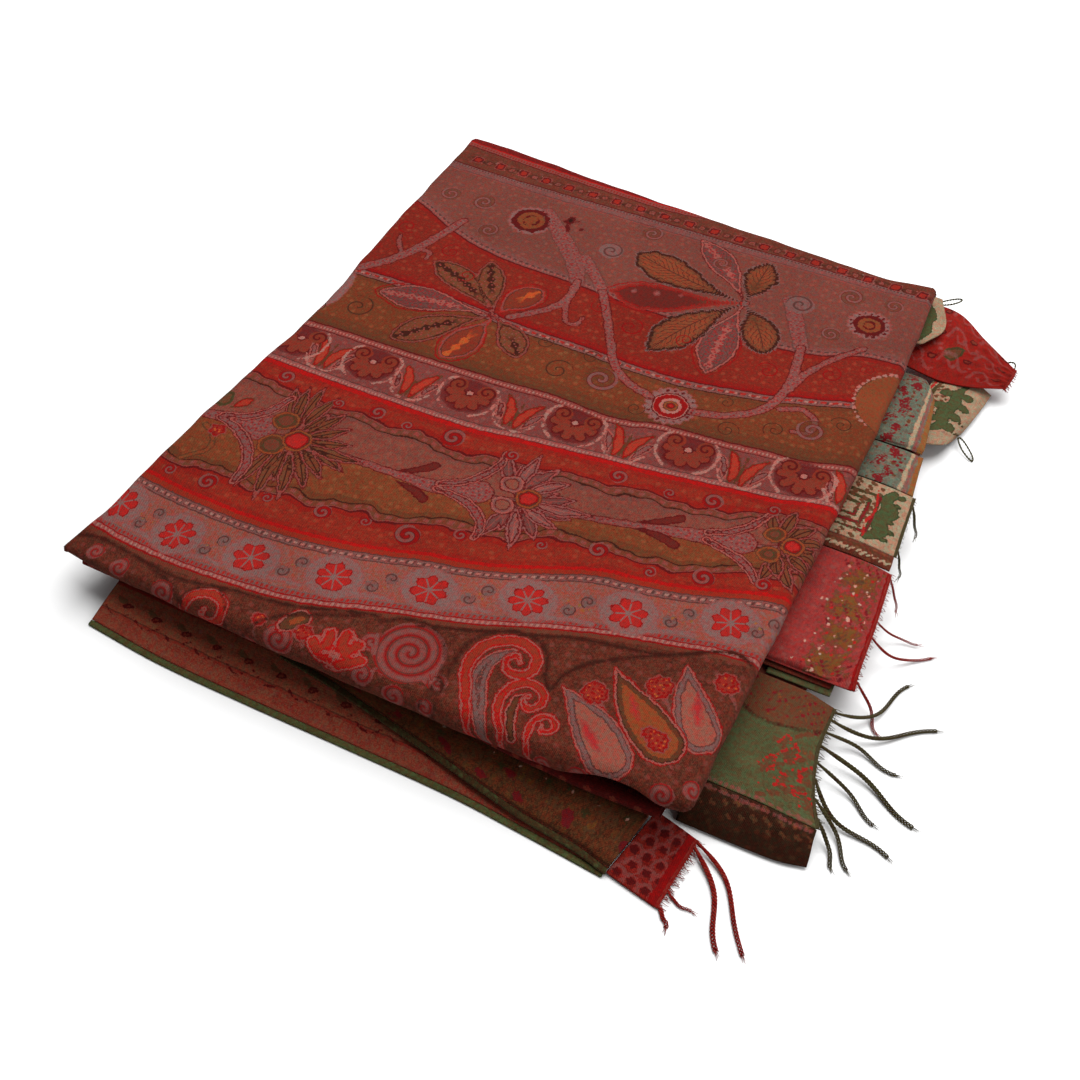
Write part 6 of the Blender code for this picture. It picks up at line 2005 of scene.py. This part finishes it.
def draw_red_corner(c, length, width):
    """Olive lozenge and rose scrolls on deep red."""
    for k in range(3):
        for m in range(3):
            x, y = 12.0 + 25.0 * m, 10.0 + 19.0 * k + 6.0 * (m % 2)
            c.stroke("spot", [(x - 8.0, y - 2.0), (x - 4.0, y + 5.0), (x + 3.0, y + 6.0), (x + 6.0, y),
                              (x + 2.0, y - 3.5), (x - 1.0, y)], 0.9, 0.5)
            c.stroke("spot", [(x + 6.0, y), (x + 11.0, y - 5.0), (x + 16.0, y - 3.0)], 0.8, 0.4)
            c.leaf("rosette", (x + 8.0, y + 3.0), (x + 16.0, y + 7.0), 2.4)
            c.oval("spot", x - 9.0, y + 6.0, 1.0)
    c.leaf("patch", (30.0, 16.0), (46.0, 30.0), 5.0)


def draw_cream_corner(c, length, width):
    """Dark green leaf along the inner side."""
    c.swelling("green", [(8, 2, 5.0), (13, 12, 6.4), (11, 24, 6.0), (14, 34, 4.0), (9, 46, 3.0)])
    scatter(c, "patch", (0.0, 0.0), (12.0, width), 16, 1.8, 2)
    stripe(c, "patch", 1.5, width, 1.4)


def draw_brown_band(c, length, width):
    """Gold specks and a row of dots."""
    scatter(c, "gold_fleck", (0.0, 12.0), (length, width), 44, 1.3, 3)
    for k in range(int(length / 3.2)):
        c.oval("spot", 1.5 + 3.2 * k, width - 2.4, 0.9)


def draw_cord_band(c, length, width):
    """Two rows of slanting stitches, as of a twisted cord."""
    for k in range(int(length / 4.0)):
        c.ribbon("cream", [(1.0 + 4.0 * k, 3.5), (3.6 + 4.0 * k, 5.4)], [0.8, 0.8])
        c.ribbon("olive", [(1.0 + 4.0 * k, width - 4.0), (3.4 + 4.0 * k, width - 6.0)], [0.9, 0.9])


BLUE = ("blue_grey", "blue_grey_dim", "cream_dim")
CREAM = ("cream", "cream_dim", "cream")
SAGE = ("sage", "sage_dim", "sage")
LEAF_LOOKS = {
    # ground of each band across it: colour, fine net, dots; drawing; record slot
    # the lower leaf's grounds, and the upper leaf's outer ground, are the lightened ones: painted light
    # against the shade they lie in
    "lower_leaf": ([("leaf_red_brown", "wine", "leaf_red"), ("lower_ground", "brown", "tan"),
                    ("lower_red", "leaf_red", "pink_dim")], draw_lower_leaf, "border_cloth"),
    "upper_leaf": ([("upper_ground", "upper_dark", "gold_brown"), ("lower_ground", "upper_dark", "leaf_red")],
                   draw_upper_leaf, "border_cloth"),
    "red_block": ([("red", "wine", "rose_dim")], draw_red_block, "red_block"),
    "green_block": ([SAGE], draw_green_block, "green_block"),
    "brown_band": ([("upper_dark", "shadow_brown", "olive_brown")], draw_brown_band, "brown_band"),
    "pink_block": ([("rose", "rose_dim", "pink")], draw_pink_block, "pink_block"),
    "red_under_leaf": ([("brown", "wine", "leaf_red")], None, "under_leaf_red"),
    "green_under_leaf": ([SAGE], None, "under_leaf_green"),
    "cream_band": ([("brown", "brown_dim", "tan")], draw_cord_band, "brown_band"),
    "cream_block": ([CREAM], draw_cream_block, "cream_block"),
    "blue_block_front": ([BLUE], draw_blue_block, "blue_block"),
    "blue_block_back": ([BLUE], draw_blue_block, "blue_block"),
    "leaf_block": ([CREAM], draw_leaf_block, "leaf_block"),
    "red_corner": ([("red", "crimson", "rose_dim")], draw_red_corner, "red_corner"),
    "cream_corner": ([CREAM], draw_cream_corner, "cream_block"),
}
LEAF_EDGES = {  # edges of the bands across a leaf
    "lower_leaf": [flat_edge(5.0, -0.8, [("crimson", 1, 0.7)]),
                   flat_edge(25.0, -0.6, [("brown_dim", 0.4, 0.7), ("crimson", 2, 0.4)])],
    "upper_leaf": [flat_edge(25.0, -0.8, [("dark_brown", 0.4, 0.6)])],
}


def make_leaves():
    """All leaves and blocks round the packet, by name."""
    made = {}
    for name in LEAVES:
        grounds, draw, slot = LEAF_LOOKS[name]
        material = material_of(name, grounds, LEAF_EDGES.get(name, ()))
        made[name] = wall(name, leaf_grid(name), THIN_CLOTH, (0, 0, -1), material, draw)
    return made


SELVEDGE_COLOURS = {  # colour, fine net, dots
    "lower_leaf": ("selvedge", "olive", "sage"),
    "upper_leaf": ("olive", "upper_dark", "selvedge"),
}


def make_selvedge(name, leaf):
    """Guard strip in front of a leaf, ribbed along its length."""
    edge = resample([row[-1] for row in LEAVES[leaf]], STRIP_CELLS)
    rows = []
    for x, y, z in edge:
        near = y - SEAM_GAP
        far = near - SELVEDGE_WIDTH
        drop = max(min(0.5, z - GROUND_GAP - SELVEDGE_THICKNESS), 0.0)
        line = []
        for k in range(7):
            t = k / 6.0
            rib = 0.14 * math.cos(6.0 * math.pi * t)
            line.append((x, near + (far - near) * t, z + rib - 0.14 - drop * t ** 2))
        rows.append(line)
    material = material_of(name, [SELVEDGE_COLOURS[leaf]])
    return wall(name, np.array(rows), SELVEDGE_THICKNESS - 0.2, (0, 0, -1), material)


def make_under_fold():
    """The second fold, under the front roll."""
    rows = []
    for x, nose, middle, half in resample(UNDER_FOLD, STRIP_CELLS):
        centre = nose + half
        wave = 0.3 * math.sin(x / 17.0) + 0.2 * math.sin(x / 7.3)
        section = [(x, centre + UNDER_FOLD_DEPTH, middle + half)]
        for k in range(17):
            angle = math.radians(90.0 + 11.25 * k)
            section.append((x, centre + (half + wave) * math.cos(angle), middle + half * math.sin(angle)))
        section.append((x, centre + UNDER_FOLD_DEPTH, middle - half))
        rows.append(section)
    material = material_of("fold_cloth", [("shadow_red", "wine", "leaf_red")])
    return wall("under_fold", np.array(rows), THIN_CLOTH, (0, 1, 0), material, draw_under_fold)


FOLD_FLOWERS = {"start": 7.0, "pitch": 15.0, "radius": 4.0, "petals": 6}


def draw_under_fold(c, length, width):
    """Row of dark flowers."""
    pitch, radius, petals = FOLD_FLOWERS["pitch"], FOLD_FLOWERS["radius"], FOLD_FLOWERS["petals"]
    for k in range(int(length / pitch)):
        c.flower("rosette", FOLD_FLOWERS["start"] + pitch * k, 0.5 * width, radius, petals)


# ---------------------------------------------------------------- fringe
class Yarns:
    """Tubes of yarn, gathered into one mesh."""

    def __init__(self):
        self.points = []
        self.faces = []
        self.place = []

    def tube(self, line, radii, sides, seed):
        """Tube along a line, with a radius at each of its points and closed ends."""
        line = np.array(line, float)
        _, side, over = line_frame(line)
        start = len(self.points)
        distance = 0.0
        for k, centre in enumerate(line):
            if k:
                distance += float(np.linalg.norm(line[k] - line[k - 1]))
            for m in range(sides):
                angle = 2.0 * math.pi * m / sides
                away = side[k] * math.cos(angle) + over[k] * math.sin(angle)
                self.points.append(centre + radii[k] * away)
                self.place.append((seed * 13.7 + 0.35 * math.cos(angle), distance, 0.0))
        for k in range(len(line) - 1):
            for m in range(sides):
                a, b = start + k * sides + m, start + k * sides + (m + 1) % sides
                self.faces.append((a, b, b + sides, a + sides))
        self.faces.append(tuple(start + m for m in reversed(range(sides))))
        last = start + (len(line) - 1) * sides
        self.faces.append(tuple(last + m for m in range(sides)))

    def build(self, node, material):
        """One shown piece of all tubes, standing for the CAD node named."""
        piece = add_mesh(node + "_yarn", np.array(self.points), self.faces, material, [node])
        store_vector(piece.data, "yarn", self.place)
        return piece


def lock_line(root, reach_x, reach_y, sway, tip_height):
    """Middle line of a lock: out of the strip, down, and along what it lies on."""
    t = np.linspace(0.0, 1.0, LOCK_POINTS)
    side = np.array([-reach_y, reach_x]) / math.hypot(reach_x, reach_y)
    bend = sway * np.sin(2.0 * np.pi * SWAY_TURNS * t) + 0.9 * np.sin(9.0 * t + sway) * t
    fall = (1.0 - t) ** FALL_POWER
    return np.column_stack([root[0] + reach_x * t + side[0] * bend, root[1] + reach_y * t + side[1] * bend,
                            tip_height + (root[2] - tip_height) * fall])


def twist_lock(yarns, line, half_width, seed):
    """Plies wound round a lock's middle line, open and frayed near the tip."""
    t = np.linspace(0.0, 1.0, len(line))
    along, side, over = line_frame(line)
    for ply in range(PLIES):
        angle = 2.0 * np.pi * (running_length(line) / PLY_PITCH + ply / PLIES) + seed
        off = half_width * (PLY_SHARE + 0.45 * t) * np.clip(t * 6.0, 0.35, 1.0)
        path = line + side * (off * np.cos(angle))[:, None] + over * (0.6 * off * np.sin(angle))[:, None]
        path[:, 2] = np.maximum(path[:, 2], GROUND_GAP + 0.1)
        yarns.tube(path, half_width * PLY_SHARE * (1.0 - 0.5 * t), TUBE_SIDES, seed + ply)
    for k in range(FRAYED_ENDS):
        tip = line[-1] + along[-1] * (1.5 + 0.8 * k) + side[-1] * (1.1 * math.sin(2.1 * k + seed))
        tip[2] = max(tip[2], GROUND_GAP + 0.15)
        start = line[-3] + side[-3] * 0.3 * math.sin(3.3 * k)
        yarns.tube([start, 0.5 * (start + tip), tip], [0.2, 0.16, 0.1], HAIR_SIDES, seed + k)


def make_fringe(name, material):
    """Fringe of one leaf: the bound edge, the long locks and the short loose hairs."""
    leaf, backwards, slot = FRINGES[name]
    edge_points = list(LEAVES[leaf][-1])
    edge = curve_through(edge_points[::-1] if backwards else edge_points, 12)
    lengths = running_length(edge)
    total = lengths[-1]

    def at(distance):
        return np.array([np.interp(distance, lengths, edge[:, k]) for k in range(3)])

    def outward(distance):
        """Level direction away from the leaf."""
        step = at(min(distance + 0.5, total)) - at(max(distance - 0.5, 0.0))
        away = np.array([step[1], -step[0]])
        away *= 1.0 if away[0] > 0.0 else -1.0
        return away / np.linalg.norm(away)

    yarns = Yarns()
    for row, (reach, drop, half_width) in enumerate(STRIP_ROWS):
        strip = []
        for k in range(STRIP_STEPS + 1):
            distance = total * k / STRIP_STEPS
            away = outward(distance)
            point = at(distance)
            strip.append((point[0] + away[0] * reach, point[1] + away[1] * reach,
                          point[2] - drop + 0.06 * math.sin(1.9 * k + row)))
        yarns.tube(strip, np.full(STRIP_STEPS + 1, half_width), TUBE_SIDES, 2.0 + row)
    for k, (share, reach_x, reach_y, sway, width, tip) in enumerate(LOCKS[name]):
        away = outward(share * total)
        base = at(share * total)
        start = SEAM_GAP + STRIP_WIDTH - 0.4
        root = (base[0] + away[0] * start, base[1] + away[1] * start, base[2] - 0.5 * STRIP_THICKNESS)
        line = lock_line(root, reach_x, reach_y, sway, tip)
        twist_lock(yarns, line, 0.5 * width, 1.3 * k + len(name))
    count, length, spread, thick = HAIRS[name]
    for k in range(count):
        share = (k + 0.5) / count
        away = outward(share * total)
        base = at(share * total)
        angle = math.atan2(away[1], away[0]) + math.radians(spread) * math.sin(2.3 * k + 0.6) * 0.8
        reach = length * (0.6 + 0.4 * math.sin(1.7 * k + 1.1))
        root = (base[0] + away[0] * HAIR_ROOT, base[1] + away[1] * HAIR_ROOT, base[2] - 0.5 * STRIP_THICKNESS)
        drop = min(HAIR_DROP + 0.6 * math.sin(3.1 * k), root[2] - 0.7)
        line = []
        for t in np.linspace(0.0, 1.0, HAIR_POINTS):
            curl = 0.5 * math.sin(4.0 * t + k) * t
            line.append((root[0] + reach * t * math.cos(angle) - curl * math.sin(angle),
                         root[1] + reach * t * math.sin(angle) + curl * math.cos(angle),
                         root[2] - drop * t ** 1.5))
        yarns.tube(line, thick * np.linspace(1.0, 0.45, HAIR_POINTS), HAIR_SIDES, 0.37 * k)
    return yarns.build(name, material)


LOOP_POINTS = 49
LOOP_WOBBLE = 0.06            # share of its half width
LOOP_PLIES = 2
LOOP_TWISTS = 12.0
LOOP_PLY_OFF = 0.28           # distance of a ply from the loop's middle line
LOOP_PLY_RADIUS = 0.4


def make_thread_loop(name, material):
    """Loose loop of two-ply yarn."""
    x, y, z, half_length, half_width, turn, tilt = THREAD_LOOPS[name]
    turn, tilt = math.radians(turn), math.radians(tilt)
    line = []
    for k in range(LOOP_POINTS):
        angle = 2.0 * math.pi * k / (LOOP_POINTS - 1)
        wobble = 1.0 + LOOP_WOBBLE * math.sin(3.0 * angle)
        along = half_length * math.cos(angle)
        across = half_width * wobble * math.sin(angle)
        line.append((x + along * math.cos(turn) - across * math.sin(turn),
                     y + along * math.sin(turn) + across * math.cos(turn), z - along * math.sin(tilt)))
    yarns = Yarns()
    line = np.array(line)
    for ply in range(LOOP_PLIES):
        angle = np.linspace(0.0, 2.0 * LOOP_TWISTS * math.pi, LOOP_POINTS) + math.pi * ply
        path = line + LOOP_PLY_OFF * np.column_stack([np.cos(angle), np.sin(angle), np.sin(angle)])
        yarns.tube(path, np.full(LOOP_POINTS, LOOP_PLY_RADIUS), TUBE_SIDES, ply + 1.0)
    return yarns.build(name, material)


# ---------------------------------------------------------------- stage, light and camera
CAMERA = {"azimuth": 27.05, "elevation": 47.9, "distance": 982.7, "aim_x": 37.6, "aim_y": -75.8, "lens": 50.0}
SENSOR_WIDTH = 36.0
NEAREST_SEEN = 0.01           # metres
FLOOR_HALF = 3.0              # metres
FLOOR_GREYS = ((0.76, 0.76, 0.76, 1.0), (0.78, 0.78, 0.78, 1.0))
FLOOR_GRAIN = (60.0, 2.0, 0.5)     # scale, detail, roughness of its noise
FLOOR_ROUGHNESS = 0.9
FLOOR_SPECULAR = 0.1
SURROUND = 0.16               # strength of the white surround


def make_camera():
    """The photo's view: to the right of the front, from above."""
    azimuth, elevation = math.radians(CAMERA["azimuth"]), math.radians(CAMERA["elevation"])
    back = Vector((math.sin(azimuth) * math.cos(elevation), -math.cos(azimuth) * math.cos(elevation),
                   math.sin(elevation)))
    right = Vector((math.cos(azimuth), math.sin(azimuth), 0.0))
    up = back.cross(right)
    place = Vector((CAMERA["aim_x"], CAMERA["aim_y"], 0.0)) * MM + back * CAMERA["distance"] * MM
    camera = bpy.data.cameras.new("camera")
    camera.lens = CAMERA["lens"]
    camera.sensor_width = SENSOR_WIDTH
    camera.clip_start = NEAREST_SEEN
    holder = bpy.data.objects.new("camera", camera)
    holder.matrix_world = Matrix((
        (right.x, up.x, back.x, place.x), (right.y, up.y, back.y, place.y),
        (right.z, up.z, back.z, place.z), (0.0, 0.0, 0.0, 1.0)))
    bpy.context.scene.collection.objects.link(holder)
    bpy.context.scene.camera = holder


def make_stage():
    """White ground."""
    mesh = bpy.data.meshes.new("floor")
    signs = ((-1, -1), (1, -1), (1, 1), (-1, 1))
    mesh.from_pydata([(FLOOR_HALF * i, FLOOR_HALF * j, 0.0) for i, j in signs], [], [(0, 1, 2, 3)])
    n = Nodes("floor")
    place = n.add("ShaderNodeTexCoord").outputs["Object"]
    grain = n.noise(place, *FLOOR_GRAIN)
    n.put(n.shader.inputs["Base Color"], n.mix(grain, *FLOOR_GREYS))
    n.shader.inputs["Roughness"].default_value = FLOOR_ROUGHNESS
    n.shader.inputs["Specular IOR Level"].default_value = FLOOR_SPECULAR
    mesh.materials.append(n.material)
    floor = bpy.data.objects.new("floor", mesh)
    bpy.context.scene.collection.objects.link(floor)


LIGHTS = [
    # name, x, y, z in metres, size in metres, watts
    ("overhead", 0.20, 0.80, 2.1, 2.4, 110.0),
    ("side", 1.9, -0.7, 1.3, 1.2, 12.0),
]


def make_lights():
    """Soft light from above, a weak one from the right and a faint white surround."""
    for name, x, y, z, size, watts in LIGHTS:
        lamp = bpy.data.lights.new(name, "AREA")
        lamp.shape = "SQUARE"
        lamp.size = size
        lamp.energy = watts
        holder = bpy.data.objects.new(name, lamp)
        holder.location = (x, y, z)
        holder.rotation_mode = "QUATERNION"
        holder.rotation_quaternion = (Vector((0.0, 0.0, 0.0)) - Vector((x, y, z))).to_track_quat("-Z", "Y")
        bpy.context.scene.collection.objects.link(holder)
    world = bpy.context.scene.world or bpy.data.worlds.new("studio")
    bpy.context.scene.world = world
    world.use_nodes = True
    background = next(node for node in world.node_tree.nodes if node.type == "BACKGROUND")
    background.inputs["Color"].default_value = (1.0, 1.0, 1.0, 1.0)
    background.inputs["Strength"].default_value = SURROUND
    bpy.context.scene.view_settings.view_transform = "Standard"


# ---------------------------------------------------------------- everything together
make_camera()
make_stage()
make_lights()
top_cloth = make_top_cloth()
layer_stack = make_layer_stack()
under_fold = make_under_fold()
leaves = make_leaves()
selvedges = {
    "lower_leaf": make_selvedge("lower_selvedge", "lower_leaf"),
    "upper_leaf": make_selvedge("upper_selvedge", "upper_leaf"),
}
red_yarn = yarn_material("red_yarn", ["wine", "crimson", "red", "rose"])
olive_yarn = yarn_material("olive_yarn", ["black_brown", "olive", "sage_dim", "dark_brown"])
fringes = {name: make_fringe(name, red_yarn if FRINGES[name][2] == "red_fringe" else olive_yarn)
           for name in FRINGES}
thread_yarn = yarn_material("thread_yarn", ["olive", "sage_dim", "leaf_green"])
loops = {name: make_thread_loop(name, thread_yarn) for name in THREAD_LOOPS}

LEAF_FLAT = {
    # width and length in metres, what it rests on, fringe that goes with it
    "lower_leaf": (0.0355, 0.370, "layer_stack", None),
    "upper_leaf": (0.0340, 0.248, "lower_leaf_cloth", None),
    "red_block": (0.049, 0.034, "lower_leaf_cloth", "red_fringe"),
    "green_block": (0.083, 0.066, "layer_stack", "green_fringe"),
    "brown_band": (0.028, 0.077, "layer_stack", None),
    "pink_block": (0.097, 0.062, "layer_stack", "pink_fringe"),
    "red_under_leaf": (0.0125, 0.047, "green_under_leaf_cloth", None),
    "green_under_leaf": (0.0165, 0.040, "green_block_cloth", None),
    "cream_band": (0.014, 0.058, "layer_stack", None),
    "cream_block": (0.0545, 0.055, "layer_stack", "cream_fringe"),
    "blue_block_front": (0.037, 0.049, "layer_stack", None),
    "blue_block_back": (0.085, 0.043, "layer_stack", None),
    "leaf_block": (0.083, 0.042, "layer_stack", None),
    "red_corner": (0.070, 0.083, "layer_stack", "corner_fringe"),
    "cream_corner": (0.057, 0.023, "red_corner_cloth", None),
}
for leaf, (width, length, rest, fringe) in LEAF_FLAT.items():
    going = [fringes[fringe]] if fringe else []
    if leaf in selvedges:
        going.append(selvedges[leaf])
